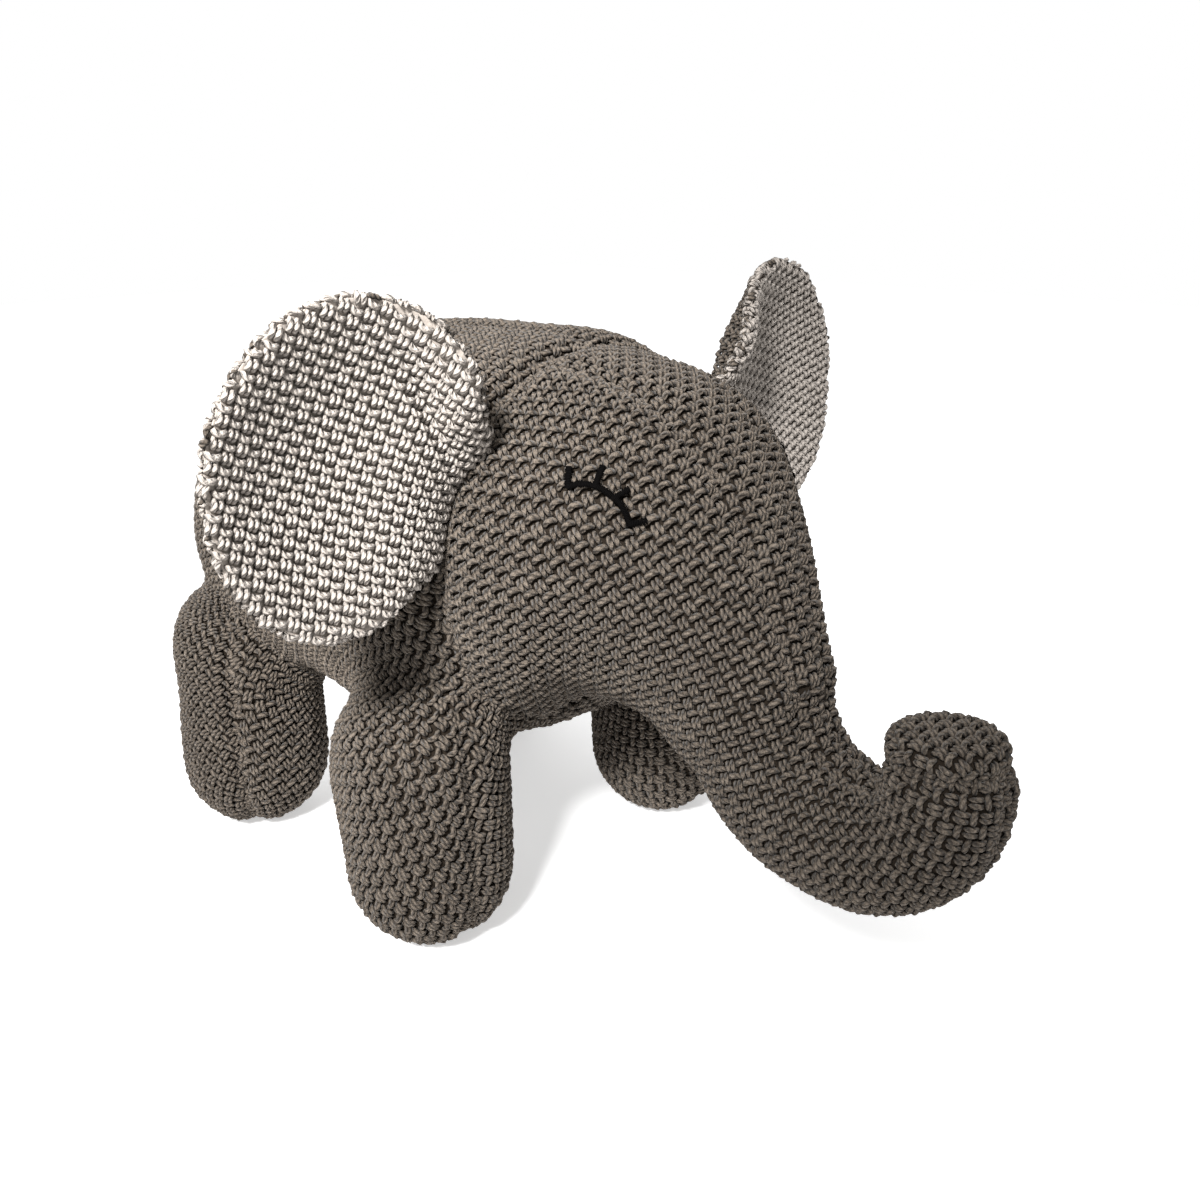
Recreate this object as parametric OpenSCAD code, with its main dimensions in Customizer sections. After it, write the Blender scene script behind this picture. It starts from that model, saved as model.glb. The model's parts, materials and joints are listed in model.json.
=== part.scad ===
// Knitted stuffed elephant standing on four legs, with side ears and an upturned trunk.
// Millimetres. +Z is up, the face looks along -Y and the elephant's left side is +X.
// The origin is on the floor, under the middle of the whole toy.

/* [Torso] */
// Length of the torso from the neck seam to the rump
torso_len = 219; // [183:1:262]
// Greatest width of the torso
torso_w = 202; // [184:1:243]
// Height of the torso from belly to back
torso_h = 186; // [160:1:223]
// Height of the belly above the floor
belly_z = 75; // [62:1:90]

/* [Legs] */
// Diameter of each stuffed leg
leg_d = 75; // [62:1:90]
// How far each leg's centre lies in from the side of the torso
leg_inset = 22; // [18:1:30]
// Distance between the front and rear leg centres
leg_base = 148; // [122:1:165]
// Least distance from the neck seam back to the front leg centres
leg_setback = 26; // [20:1:34]
// Least distance between the front legs and the neck seam
leg_neck_gap = 2.8; // [2:0.1:6]
// Height of the hip, where a leg bends against the torso
hip_z = 92; // [84:1:100]
// Diameter of the flat that a foot stands on
sole_d = 28; // [20:1:36]
// Swing of a leg each way
hip_swing = 10; // [4:1:14]

/* [Head and trunk] */
// Diameter of the neck seam, where the head is sewn to the torso
neck_d = 168; // [148:1:190]
// Height of the neck's middle above the torso's middle
neck_raise = 6; // [0:1:12]
// Length of the head from the neck seam to the root of the trunk
head_len = 92; // [80:1:110]
// Thickness of the trunk at its root
trunk_root_d = 72; // [64:1:82]
// Thickness of the trunk near its tip
trunk_tip_d = 49; // [42:1:56]
// Forward reach of the trunk past its root
trunk_reach = 82; // [68:1:98]
// Height of the trunk tip above the lowest part of the trunk
trunk_rise = 46; // [38:1:56]

/* [Ears] */
// Width of an ear from its sewn edge to its outer rim
ear_w = 106; // [88:1:127]
// Height of an ear
ear_h = 121; // [97:1:145]
// Depth of the hollow in the cupped front of an ear
ear_cup = 12; // [4:1:16]
// How far up the side of the neck an ear is sewn, in degrees above level
ear_angle = 22; // [14:1:34]
// Thickness of the wadding between the two ear layers
ear_wadding_t = 4; // [2:0.5:6]
// How far the ears turn outwards from facing straight ahead
ear_turn = 8; // [0:1:20]

/* [Tail] */
// Length of the tail's knitted cord
tail_len = 52; // [42:1:64]
// Diameter of the tail's knitted cord
tail_d = 11; // [8:0.5:14]
// Diameter of the tuft at the end of the tail
tuft_d = 20; // [16:1:26]

/* [Fabric and seams] */
// Thickness of the knitted fabric
fabric_t = 2.6; // [1.5:0.1:4]
// Width of the joint between two panels at a seam
seam_gap = 0.3; // [0.2:0.1:0.6]
// Clearance between the fabric and the filling inside it
fill_gap = 0.6; // [0.5:0.1:0.9]
// Running clearance round a part that moves
move_gap = 0.6; // [0.5:0.1:1]
// Thickness of the drawn cord in the groove round the neck
neck_cord_d = 2.2; // [1.5:0.1:3]
// Thickness of the embroidered eye thread
eye_thread_d = 2.4; // [1.5:0.1:3.5]

/* [Hidden] */

taupe = [0.42, 0.38, 0.34];
cream = [0.89, 0.85, 0.80];
white_fill = [0.95, 0.95, 0.93];
black_thread = [0.05, 0.05, 0.05];

$fn = 64;

// ---------- heights and places worked out from the driving sizes ----------

neck_r = neck_d / 2;
leg_r = leg_d / 2;
sole_r = sole_d / 2;
torso_mid_z = belly_z + torso_h / 2;
neck_tilt = 1;
neck_z = torso_mid_z + neck_raise;
trunk_root_r = trunk_root_d / 2;
trunk_tip_r = trunk_tip_d / 2;
// places along Y are first counted from the neck seam, then moved to centre the toy
function at_y(y) = y - centre_y;

// One loft station: [y, z, tilt of the ring, half width, half height, squareness]
torso_rows = [
  [0, neck_z, neck_tilt, neck_r, neck_r, 2.0],
  [0.07 * torso_len, torso_mid_z + 0.5 * neck_raise, 0, 0.475 * torso_w, 0.49 * torso_h, 2.1],
  [0.23 * torso_len, torso_mid_z, 0, 0.5 * torso_w, 0.5 * torso_h, 2.3],
  [0.50 * torso_len, torso_mid_z - 1, 0, 0.5 * torso_w, 0.495 * torso_h, 2.35],
  [0.71 * torso_len, torso_mid_z - 5, 0, 0.485 * torso_w, 0.47 * torso_h, 2.35],
  [0.845 * torso_len, torso_mid_z - 8, 0, 0.435 * torso_w, 0.42 * torso_h, 2.3],
  [0.93 * torso_len, torso_mid_z - 11, 0, 0.345 * torso_w, 0.335 * torso_h, 2.2],
  [0.98 * torso_len, torso_mid_z - 13, 0, 0.215 * torso_w, 0.21 * torso_h, 2.1],
  [torso_len, torso_mid_z - 14, 0, 0.07 * torso_w, 0.07 * torso_h, 2.0],
];

// The trunk turns about a ball at its root
root_y = -head_len;
root_z = torso_mid_z - 0.28 * torso_h;
root_tilt = 54;
low_z = root_z - 0.45 * trunk_root_d;

// The head runs from the neck ring to the trunk's root: share is 1 at the neck and 0 at the root
function head_r(share) = trunk_root_r + share * (neck_r - trunk_root_r);
function head_z(share) = root_z + share * (neck_z - root_z);
head_rows = [
  [0, neck_z, neck_tilt, neck_r, neck_r, 2.0],
  [-0.35 * head_len, head_z(0.928), 18, head_r(0.86), head_r(0.912), 2.0],
  [-0.61 * head_len, head_z(0.696), 37, head_r(0.422), head_r(0.528), 2.0],
  [-0.85 * head_len, head_z(0.335), 50, head_r(0.09), head_r(0.16), 2.0],
  [root_y, root_z, root_tilt, trunk_root_r, trunk_root_r, 2.0],
];

trunk_ball_r = trunk_root_r - fabric_t - move_gap;
trunk_rows = [
  [root_y, root_z, root_tilt, trunk_ball_r, trunk_ball_r, 2.0],
  [root_y - 0.16 * trunk_reach, root_z - 0.275 * trunk_root_d, 44, 0.865 * trunk_root_r,
    0.865 * trunk_root_r, 2.0],
  [root_y - 0.39 * trunk_reach, root_z - 0.42 * trunk_root_d, 20, 0.84 * trunk_root_r,
    0.84 * trunk_root_r, 2.0],
  [root_y - 0.71 * trunk_reach, low_z, -10, 0.77 * trunk_root_r, 0.77 * trunk_root_r, 2.0],
  [root_y - 0.96 * trunk_reach, low_z + 0.31 * trunk_rise, -56, 1.03 * trunk_tip_r,
    1.03 * trunk_tip_r, 2.0],
  [root_y - 1.01 * trunk_reach, low_z + 0.73 * trunk_rise, -86, 1.01 * trunk_tip_r,
    1.01 * trunk_tip_r, 2.0],
  [root_y - 0.99 * trunk_reach, low_z + trunk_rise, -92, trunk_tip_r, trunk_tip_r, 2.0],
];

// ---------- loft functions ----------

function steps(a, b, n) = [for (i = [0:n]) a + (b - a) * i / n];

function signed_pow(v, e) = sign(v) * pow(abs(v), e);

// A point of a station's ring at angle th, set in from the surface by inset
function ring_point(st, th, inset) =
  let (side = (st[3] - inset) * signed_pow(cos(th), 2 / st[5]),
       up = (st[4] - inset) * signed_pow(sin(th), 2 / st[5]))
  [side, at_y(st[0]) - up * sin(st[2]), st[1] + up * cos(st[2])];

// Smooth station between the rows, where t runs from 0 to len(rows) - 1
function spline(a, b, c, d, f) =
  0.5 * (2 * b + (c - a) * f + (2 * a - 5 * b + 4 * c - d) * f * f
    + (3 * b - 3 * c + d - a) * f * f * f);
function station(rows, t) =
  let (last = len(rows) - 1, i = min(floor(t), last - 1), f = t - i)
  spline(rows[max(i - 1, 0)], rows[i], rows[i + 1], rows[min(i + 2, last)], f);
function shift_station(st, along) =
  [st[0] - along * cos(st[2]), st[1] - along * sin(st[2]), st[2], st[3], st[4], st[5]];

// A closed solid through rings of points that all have the same count. A strip's ring runs out
// along one side and back along the other, so its ends are closed from side to side.
module loft(rings, strip = false) {
  n = len(rings[0]);
  m = len(rings);
  mid_first = [for (k = [0:2]) let (s = [for (p = rings[0]) p[k]]) sum(s) / n];
  mid_last = [for (k = [0:2]) let (s = [for (p = rings[m - 1]) p[k]]) sum(s) / n];
  points = concat([for (r = rings) each r], [mid_first, mid_last]);
  walls = [for (j = [0:m - 2], i = [0:n - 1])
    let (a = j * n + i, b = j * n + (i + 1) % n)
    each [[a, b, a + n], [b, b + n, a + n]]];
  last = (m - 1) * n;
  fans = [for (i = [0:n - 1])
    each [[(i + 1) % n, i, m * n], [last + i, last + (i + 1) % n, m * n + 1]]];
  ladders = [for (i = [0:n / 2 - 2])
    let (back = n - 1 - i)
    each [[i + 1, i, back], [i + 1, back, back - 1],
      [last + i, last + i + 1, last + back], [last + i + 1, last + back - 1, last + back]]];
  polyhedron(strip ? [for (r = rings) each r] : points, concat(walls, strip ? ladders : fans),
    convexity = 6);
}
function sum(v) = v * [for (i = v) 1];

// A fabric panel: the strip of a loft between two angles, one fabric thick
module panel(stations, from_angle, to_angle, columns) {
  loft([for (st = stations)
    let (half_gap = seam_gap / (2 * max(st[3], 4)) * 180 / PI,
         angles = steps(from_angle + half_gap, to_angle - half_gap, columns))
    concat([for (th = angles) ring_point(st, th, 0)],
      [for (i = [columns:-1:0]) ring_point(st, angles[i], min(fabric_t, st[3] - 1))])],
    strip = true);
}

// The filling: a whole loft set in from the fabric
module filling(stations, columns) {
  inset = fabric_t + fill_gap;
  loft([for (st = stations)
    [for (i = [0:columns - 1]) ring_point(st, 360 * i / columns, min(inset, st[3] - 0.8))]]);
}

// ---------- runs of stations, and the middle of the whole toy ----------

trunk_steps = 18;
trunk_last = len(trunk_rows) - 1;
trunk_run = [for (t = steps(0, trunk_last, trunk_steps)) station(trunk_rows, t)];
front_y = min([for (st = trunk_run) st[0] - st[4] * abs(sin(st[2]))]);

tail_r = tail_d / 2;
tuft_r = tuft_d / 2;
tail_droop = 14;
tail_z = torso_mid_z + 0.1 * torso_h;
// Where the rump's surface passes the height of the tail, found from its end forwards
function rump_station(t) =
  let (st = station(torso_rows, t)) st[1] + st[4] >= tail_z ? st : rump_station(t - 0.02);
// The tail's root ball lies just clear of the rump
tail_y = rump_station(len(torso_rows) - 1)[0] + tail_r + seam_gap;
tuft_reach = tail_len + seam_gap + 0.8 * tuft_r;
rear_y = tail_y + tuft_reach * sin(tail_droop) + tuft_r;
centre_y = (front_y + rear_y) / 2;

// ---------- torso ----------

torso_steps = 20;
belly_from = 232;
belly_to = 308;
// A groove for the drawn cord is left between the torso and the head
neck_groove = neck_cord_d + 2 * seam_gap;
torso_stations = [for (t = steps(0, len(torso_rows) - 1, torso_steps))
  shift_station(station(torso_rows, t), t == 0 ? -neck_groove : 0)];

hip_x = torso_w / 2 - leg_inset;
// Thick legs move back from the neck until they clear its ring
neck_to_hip = norm([hip_x, neck_z - hip_z]);
leg_at_neck = min(leg_r, neck_to_hip - neck_r - leg_neck_gap);
front_leg_y = max(leg_setback, sqrt(leg_r * leg_r - leg_at_neck * leg_at_neck));
function hip_y(rear) = at_y(front_leg_y + (rear ? leg_base : 0));

// Room for the ball top of each leg and for its swing
module hip_sockets() {
  socket_r = leg_r + move_gap;
  flare_h = 45;
  for (side = [-1, 1], rear = [false, true]) {
    translate([side * hip_x, hip_y(rear), hip_z]) sphere(socket_r);
    translate([side * hip_x, hip_y(rear), hip_z - flare_h])
      cylinder(h = flare_h, r1 = socket_r + flare_h * tan(hip_swing + 1), r2 = socket_r);
  }
}

module torso_cover(from_angle, to_angle) {
  color(taupe) difference() {
    panel(torso_stations, from_angle, to_angle, 14);
    hip_sockets();
  }
}
module torso_cover_right() { torso_cover(90, belly_from); }
module torso_cover_left() { torso_cover(belly_to - 360, 90); }
module belly_panel() {
  color(taupe) difference() {
    panel(torso_stations, belly_from, belly_to, 8);
    hip_sockets();
  }
}
module torso_filling() {
  color(white_fill) difference() {
    filling(torso_stations, 36);
    hip_sockets();
  }
}

// A drawn cord lies in the groove between the torso and the head
module neck_seam_cord() {
  color(taupe)
    translate([0, at_y(0), neck_z]) rotate([90 + neck_tilt, 0, 0]) translate([0, 0, -neck_groove / 2])
      rotate_extrude($fn = 96) translate([neck_r - neck_cord_d / 2, 0])
        circle(d = neck_cord_d, $fn = 16);
}

// ---------- head ----------

head_last = len(head_rows) - 1;
head_steps = 4 * head_last;
gusset_half = 17;
chin_half = 24;
head_stations = [for (t = steps(0, head_last, head_steps)) station(head_rows, t)];
// How far the plane of a head station lies behind the middle of the trunk's ball
function ball_distance(st) =
  (st[0] - root_y) * cos(st[2]) + (st[1] - root_z) * sin(st[2]);
function clear_station(t) =
  ball_distance(station(head_rows, t)) > trunk_ball_r + seam_gap ? t : clear_station(t - 0.02);
head_fill_end = clear_station(head_last);
head_fill_stations = concat(
  [for (t = steps(0, head_last, head_steps)) if (t < head_fill_end - 0.05) station(head_rows, t)],
  [station(head_rows, head_fill_end)]);

module head_cover_right() {
  color(taupe) panel(head_stations, 90 + gusset_half, 270 - chin_half, 14);
}
module head_cover_left() {
  color(taupe) panel(head_stations, chin_half - 90, 90 - gusset_half, 14);
}
module forehead_gusset() {
  color(taupe) panel(head_stations, 90 - gusset_half, 90 + gusset_half, 4);
}
module chin_panel() {
  color(taupe) panel(head_stations, 270 - chin_half, 270 + chin_half, 5);
}
module head_filling() {
  color(white_fill) filling(head_fill_stations, 36);
}

// ---------- eyes: a closed lid with four lashes ----------

// [station, angle] pairs on the right of the head; the left eye mirrors them
eye_lid = [[0.96, 144.8], [1.05, 141.9], [1.2, 140.1], [1.36, 140.2], [1.51, 142.5]];
eye_lashes = [
  [[0.96, 144.8], [0.88, 140.5]],
  [[1.12, 140.7], [1.07, 135.7]],
  [[1.28, 140], [1.32, 135.8]],
  [[1.51, 142.5], [1.57, 138.5]],
];
function on_head(pair) =
  ring_point(station(head_rows, pair[0]), pair[1], -(eye_thread_d / 2 + seam_gap));

module thread_run(pairs) {
  for (i = [0:len(pairs) - 2]) hull() {
    translate(on_head(pairs[i])) sphere(d = eye_thread_d, $fn = 12);
    translate(on_head(pairs[i + 1])) sphere(d = eye_thread_d, $fn = 12);
  }
}
module eye_embroidery_right() {
  color(black_thread) {
    thread_run(eye_lid);
    for (lash = eye_lashes) thread_run(lash);
  }
}
module eye_embroidery_left() { mirror([1, 0, 0]) eye_embroidery_right(); }

// ---------- trunk ----------

ball_rings = 5;
// Rings over the ball, from its crown to the root of the trunk
function ball_station(i) =
  let (rise = 90 * (1 - i / ball_rings) * 0.93, r = trunk_ball_r)
  [root_y + r * sin(rise) * cos(root_tilt), root_z + r * sin(rise) * sin(root_tilt),
    root_tilt, r * cos(rise), r * cos(rise), 2.0];
tip_round = 0.45 * trunk_tip_r;
tip_end = station(trunk_rows, trunk_last);
// The tip disc closes the end and rounds over its rim
function tip_station(i) =
  let (rise = 90 * i / 4 * 0.9, st = shift_station(tip_end, seam_gap + tip_round * sin(rise)),
       r = tip_end[3] - tip_round * (1 - cos(rise)))
  [st[0], st[1], st[2], r, r, 2.0];

trunk_shell = concat([ball_station(4)], trunk_run);
module trunk_cover_right() {
  color(taupe) panel(trunk_shell, 90 + gusset_half, 270, 10);
}
module trunk_cover_left() {
  color(taupe) panel(trunk_shell, -90, 90 - gusset_half, 10);
}
module trunk_front_gusset() {
  color(taupe) panel(trunk_shell, 90 - gusset_half, 90 + gusset_half, 4);
}
module trunk_tip_disc() {
  color(taupe) loft([for (i = [0:4]) [for (k = [0:27])
    ring_point(tip_station(i), 360 * k / 28, 0)]]);
}
module trunk_filling() {
  inset = fabric_t + fill_gap;
  ball = [for (i = [0:2]) [for (k = [0:27]) ring_point(ball_station(i), 360 * k / 28, 0)]];
  core = [for (st = trunk_shell) [for (k = [0:27]) ring_point(st, 360 * k / 28, inset)]];
  color(white_fill) loft(concat(ball, core));
}

// ---------- ears ----------

// Station of the head where the ears are sewn on, just in front of the neck
ear_seat = 0.4;
ear_gap = 0.95;
ear_root = ring_point(station(head_rows, ear_seat), ear_angle, 0);
ear_rings = 5;
ear_columns = 36;
// Depth of the cupped surface at share r of the way from the middle to the rim
function cup_depth(r) = ear_cup * (1 - r * r);
function ear_point(r, th, lift) =
  [ear_w / 2 + r * (ear_w / 2) * cos(th), cup_depth(r) + lift, r * (ear_h / 2) * sin(th)];
function rim_thin(r) = 1 - 0.72 * pow(r, 4);
// One layer of the ear: side is -1 for the front, 1 for the back and 0 for the wadding
module ear_layer(side, rim) {
  shares = steps(0.06, rim, ear_rings);
  angles = [for (k = [0:ear_columns - 1]) 360 * k / ear_columns];
  function core(r) = half_wadding * rim_thin(r);
  function inner(r) = core(r) + seam_gap;
  function outer(r) = inner(r) + fabric_t * rim_thin(r);
  function low(r) = side == 0 ? -core(r) : side < 0 ? -outer(r) : inner(r);
  function high(r) = side == 0 ? core(r) : side < 0 ? -inner(r) : outer(r);
  loft(concat(
    [for (i = [0:ear_rings]) [for (th = angles) ear_point(shares[i], th, low(shares[i]))]],
    [for (i = [ear_rings:-1:0]) [for (th = angles) ear_point(shares[i], th, high(shares[i]))]]));
}
half_wadding = ear_wadding_t / 2;
// An ear swings about its sewn edge, which lies just clear of the head
module place_ear(side) {
  mirror([side < 0 ? 1 : 0, 0, 0]) translate(ear_root) rotate([0, -ear_angle, 0])
    translate([ear_gap, 0, 0]) rotate([0, 0, ear_turn]) children();
}
module ear_front(side) { color(cream) place_ear(side) ear_layer(-1, 1); }
module ear_back(side) { color(taupe) place_ear(side) ear_layer(1, 1); }
module ear_wadding(side) { color(white_fill) place_ear(side) ear_layer(0, 0.92); }
module ear_front_right() { ear_front(-1); }
module ear_back_right() { ear_back(-1); }
module ear_wadding_right() { ear_wadding(-1); }
module ear_front_left() { ear_front(1); }
module ear_back_left() { ear_back(1); }
module ear_wadding_left() { ear_wadding(1); }

// ---------- legs ----------

// Half outline of a leg: ball top at the hip, straight sides, rounded foot with a flat sole
module leg_outline(inset) {
  r = leg_r - inset;
  foot_mid = sqrt(leg_r * leg_r - sole_r * sole_r);
  intersection() {
    union() {
      translate([0, hip_z]) circle(r);
      translate([0, foot_mid]) circle(r);
      translate([0, foot_mid]) square([r, hip_z - foot_mid]);
    }
    translate([0, inset]) square([leg_r, hip_z + leg_r]);
  }
}
// Two seams run down a leg, turned from its front by seam_turn
module leg_half(seam_turn, outer) {
  intersection() {
    rotate_extrude() difference() {
      leg_outline(0);
      leg_outline(fabric_t);
    }
    rotate([0, 0, seam_turn]) translate([outer ? seam_gap / 2 : -leg_d - seam_gap / 2, -leg_d, -1])
      cube([leg_d, 2 * leg_d, hip_z + leg_d]);
  }
}
module place_leg(side, rear) {
  mirror([side < 0 ? 1 : 0, 0, 0]) translate([hip_x, hip_y(rear), 0]) children();
}
rear_seam_turn = 41;
module leg_cover(side, rear, outer) {
  color(taupe) place_leg(side, rear) leg_half(rear ? rear_seam_turn : 4, outer);
}
module leg_filling(side, rear) {
  color(white_fill) place_leg(side, rear) rotate_extrude() leg_outline(fabric_t + seam_gap);
}
module leg_outer_front_right() { leg_cover(-1, false, true); }
module leg_inner_front_right() { leg_cover(-1, false, false); }
module leg_filling_front_right() { leg_filling(-1, false); }
module leg_outer_front_left() { leg_cover(1, false, true); }
module leg_inner_front_left() { leg_cover(1, false, false); }
module leg_filling_front_left() { leg_filling(1, false); }
module leg_outer_rear_right() { leg_cover(-1, true, true); }
module leg_inner_rear_right() { leg_cover(-1, true, false); }
module leg_filling_rear_right() { leg_filling(-1, true); }
module leg_outer_rear_left() { leg_cover(1, true, true); }
module leg_inner_rear_left() { leg_cover(1, true, false); }
module leg_filling_rear_left() { leg_filling(1, true); }

// ---------- tail ----------

module place_tail() {
  translate([0, at_y(tail_y), tail_z]) rotate([tail_droop, 0, 0]) children();
}
module tail_cord() {
  color(taupe) place_tail() {
    sphere(tail_r);
    translate([0, 0, -tail_len]) cylinder(h = tail_len, r = tail_r);
  }
}
module tail_tuft() {
  color(taupe) place_tail() translate([0, 0, -tuft_reach]) rotate_extrude() intersection() {
    circle(tuft_r);
    translate([0, -2 * tuft_r]) square([tuft_r, 2.8 * tuft_r]);
  }
}

torso_cover_right();
torso_cover_left();
belly_panel();
torso_filling();
neck_seam_cord();
head_cover_right();
head_cover_left();
forehead_gusset();
chin_panel();
head_filling();
eye_embroidery_right();
eye_embroidery_left();
trunk_cover_right();
trunk_cover_left();
trunk_front_gusset();
trunk_tip_disc();
trunk_filling();
ear_front_right();
ear_back_right();
ear_wadding_right();
ear_front_left();
ear_back_left();
ear_wadding_left();
leg_outer_front_right();
leg_inner_front_right();
leg_filling_front_right();
leg_outer_front_left();
leg_inner_front_left();
leg_filling_front_left();
leg_outer_rear_right();
leg_inner_rear_right();
leg_filling_rear_right();
leg_outer_rear_left();
leg_inner_rear_left();
leg_filling_rear_left();
tail_cord();
tail_tuft();
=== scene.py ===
"""Knitted stuffed elephant: padded bodies, knitted covers, cupped ears, stitched eyes, neck cord and tail."""

import json
import math

import bpy
import numpy as np
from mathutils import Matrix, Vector
from mathutils.bvhtree import BVHTree


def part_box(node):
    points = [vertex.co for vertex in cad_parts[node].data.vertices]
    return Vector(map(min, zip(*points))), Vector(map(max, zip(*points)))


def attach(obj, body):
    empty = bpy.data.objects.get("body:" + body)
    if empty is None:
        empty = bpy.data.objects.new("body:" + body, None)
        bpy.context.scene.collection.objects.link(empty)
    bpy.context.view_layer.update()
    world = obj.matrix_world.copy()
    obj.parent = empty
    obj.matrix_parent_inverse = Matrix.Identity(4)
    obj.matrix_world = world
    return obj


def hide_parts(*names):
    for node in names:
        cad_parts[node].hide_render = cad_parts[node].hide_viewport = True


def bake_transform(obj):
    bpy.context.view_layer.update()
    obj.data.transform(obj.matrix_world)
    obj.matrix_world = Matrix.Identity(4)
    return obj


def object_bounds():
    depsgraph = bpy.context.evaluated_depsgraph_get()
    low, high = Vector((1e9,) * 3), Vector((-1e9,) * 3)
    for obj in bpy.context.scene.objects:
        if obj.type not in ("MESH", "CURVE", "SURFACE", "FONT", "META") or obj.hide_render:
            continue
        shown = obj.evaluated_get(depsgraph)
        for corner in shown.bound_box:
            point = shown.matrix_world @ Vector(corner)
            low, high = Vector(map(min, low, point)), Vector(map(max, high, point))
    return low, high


bl_info = {
    "name": "Knitted Elephant",
    "version": (1, 0, 0),
    "blender": (4, 5, 0),
    "location": "View3D > Sidebar > Elephant",
    "description": "Makes the padding, knitted covers, ears, eyes and tail of a stuffed elephant",
    "category": "Add Mesh",
}

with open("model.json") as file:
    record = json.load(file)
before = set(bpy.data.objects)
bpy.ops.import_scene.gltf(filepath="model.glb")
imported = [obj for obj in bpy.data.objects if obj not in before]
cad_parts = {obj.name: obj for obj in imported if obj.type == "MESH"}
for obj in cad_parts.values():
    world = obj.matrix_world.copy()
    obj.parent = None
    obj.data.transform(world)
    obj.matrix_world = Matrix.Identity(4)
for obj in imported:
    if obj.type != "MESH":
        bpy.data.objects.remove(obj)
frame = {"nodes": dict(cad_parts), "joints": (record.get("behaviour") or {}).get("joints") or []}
CAD_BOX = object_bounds()
JOINTS = {joint["name"]: joint for joint in frame["joints"]}

SIDES = ("right", "left")
LEGS = tuple(f"{end}_{side}" for end in ("front", "rear") for side in SIDES)
SIDE_SIGN = {"right": -1.0, "left": 1.0}

# Cloths: the CAD covers that are cut from one piece of knitting
CLOTHS = {"belly": ["belly_panel"] + [f"leg_inner_{leg}" for leg in LEGS]}
for _side in SIDES:
    CLOTHS[f"flank_{_side}"] = [
        f"torso_cover_{_side}", f"leg_outer_front_{_side}", f"leg_outer_rear_{_side}"]
    CLOTHS[f"face_{_side}"] = [f"head_cover_{_side}", f"trunk_cover_{_side}"]
CLOTHS["brow"] = ["forehead_gusset", "trunk_front_gusset"]
CLOTHS["chin"] = ["chin_panel"]
CLOTHS["trunk_tip"] = ["trunk_tip_disc"]
COVERS = [node for nodes in CLOTHS.values() for node in nodes]
FILLINGS = ["torso_filling", "head_filling", "trunk_filling"] + [f"leg_filling_{leg}" for leg in LEGS]

# Which way the strands of each cloth run, and the stitch width and height in millimetres
STRANDS = {
    "belly": ((0, 1, 0), 5.0, 4.8),
    "flank_right": ((0, 1, 0), 5.0, 4.8),
    "flank_left": ((0, 1, 0), 5.0, 4.8),
    "face_right": ((0, -0.62, -0.78), 5.2, 4.4),
    "face_left": ((0, -0.62, -0.78), 5.2, 4.4),
    "brow": ((0, -0.62, -0.78), 5.0, 4.4),
    "chin": ((0, -1, -0.3), 5.0, 4.4),
    "trunk_tip": ((0, -0.3, 1), 4.8, 4.2),
}


# ---------- settings a user would change ----------


def length(name, description, default):
    return bpy.props.FloatProperty(
        name=name, description=description, default=default, subtype="DISTANCE", unit="LENGTH")


def angle(name, description, default):
    return bpy.props.FloatProperty(
        name=name, description=description, default=default, subtype="ANGLE", unit="ROTATION")


def colour(name, description, default):
    return bpy.props.FloatVectorProperty(
        name=name, description=description, default=default, size=3, subtype="COLOR")


class KnitSettings(bpy.types.PropertyGroup):
    yarn_d: length(
        "Yarn thickness", "Thickness of a strand of yarn",
        0.0024)
    turn_jitter: angle(
        "Turn spread", "How far stitches turn out of line",
        0.13)
    size_jitter: bpy.props.FloatProperty(
        name="Size spread", description="How much stitches differ in size", default=0.07)
    seed: bpy.props.IntProperty(name="Seed", description="Seed of the stitch spread", default=7)
    ear_stitch_w: length(
        "Ear stitch width", "Width of a stitch on the ears",
        0.0051)
    ear_stitch_h: length(
        "Ear stitch height", "Height of a stitch on the ears",
        0.0039)


class FormSettings(bpy.types.PropertyGroup):
    voxel: length(
        "Voxel", "Voxel size of the stuffed form",
        0.0035)
    yarn_room: length(
        "Yarn room", "How far the form lies inside the covers, to leave room for the yarn",
        0.0022)
    seam_allowance: length(
        "Seam allowance", "How far a cloth reaches past its seam into the groove",
        0.0016)
    seam_depth: length(
        "Seam depth", "How far a seam pulls the form in",
        0.0030)
    seam_reach: length(
        "Seam reach", "Half width of the groove along a seam",
        0.0046)
    hip_blend: length(
        "Hip blend", "Reach of the soft fillet where a leg meets the torso",
        0.016)
    swell: length(
        "Swell", "Furthest that the stuffing swells a cover between its seams",
        0.003)


class EarSettings(bpy.types.PropertyGroup):
    turn: angle(
        "Turn", "How far an ear turns outwards",
        math.radians(8))
    half_t: length(
        "Half thickness", "Half the thickness of an ear at its middle",
        0.0034)
    fold: length(
        "Fold", "How far the upper inner rim folds forward",
        0.010)
    drawn_back: length(
        "Drawn back", "How far the sewn edge of an ear is drawn back on the head",
        0.020)
    root_reach: length(
        "Root reach", "Width of the part of an ear that is drawn back",
        0.036)


class ColourSettings(bpy.types.PropertyGroup):
    taupe_light: colour(
        "Taupe, light", "Light fibres of the taupe yarn", (0.195, 0.161, 0.129))
    taupe_dark: colour(
        "Taupe, dark", "Dark fibres of the taupe yarn", (0.044, 0.033, 0.024))
    cream_light: colour(
        "Cream, light", "Light fibres of the cream yarn", (0.50, 0.450, 0.405))
    cream_dark: colour(
        "Cream, dark", "Dark fibres of the cream yarn", (0.40, 0.355, 0.315))
    thread: colour(
        "Eye thread", "Embroidery thread of the eyes", (0.0012, 0.001, 0.001))


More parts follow.
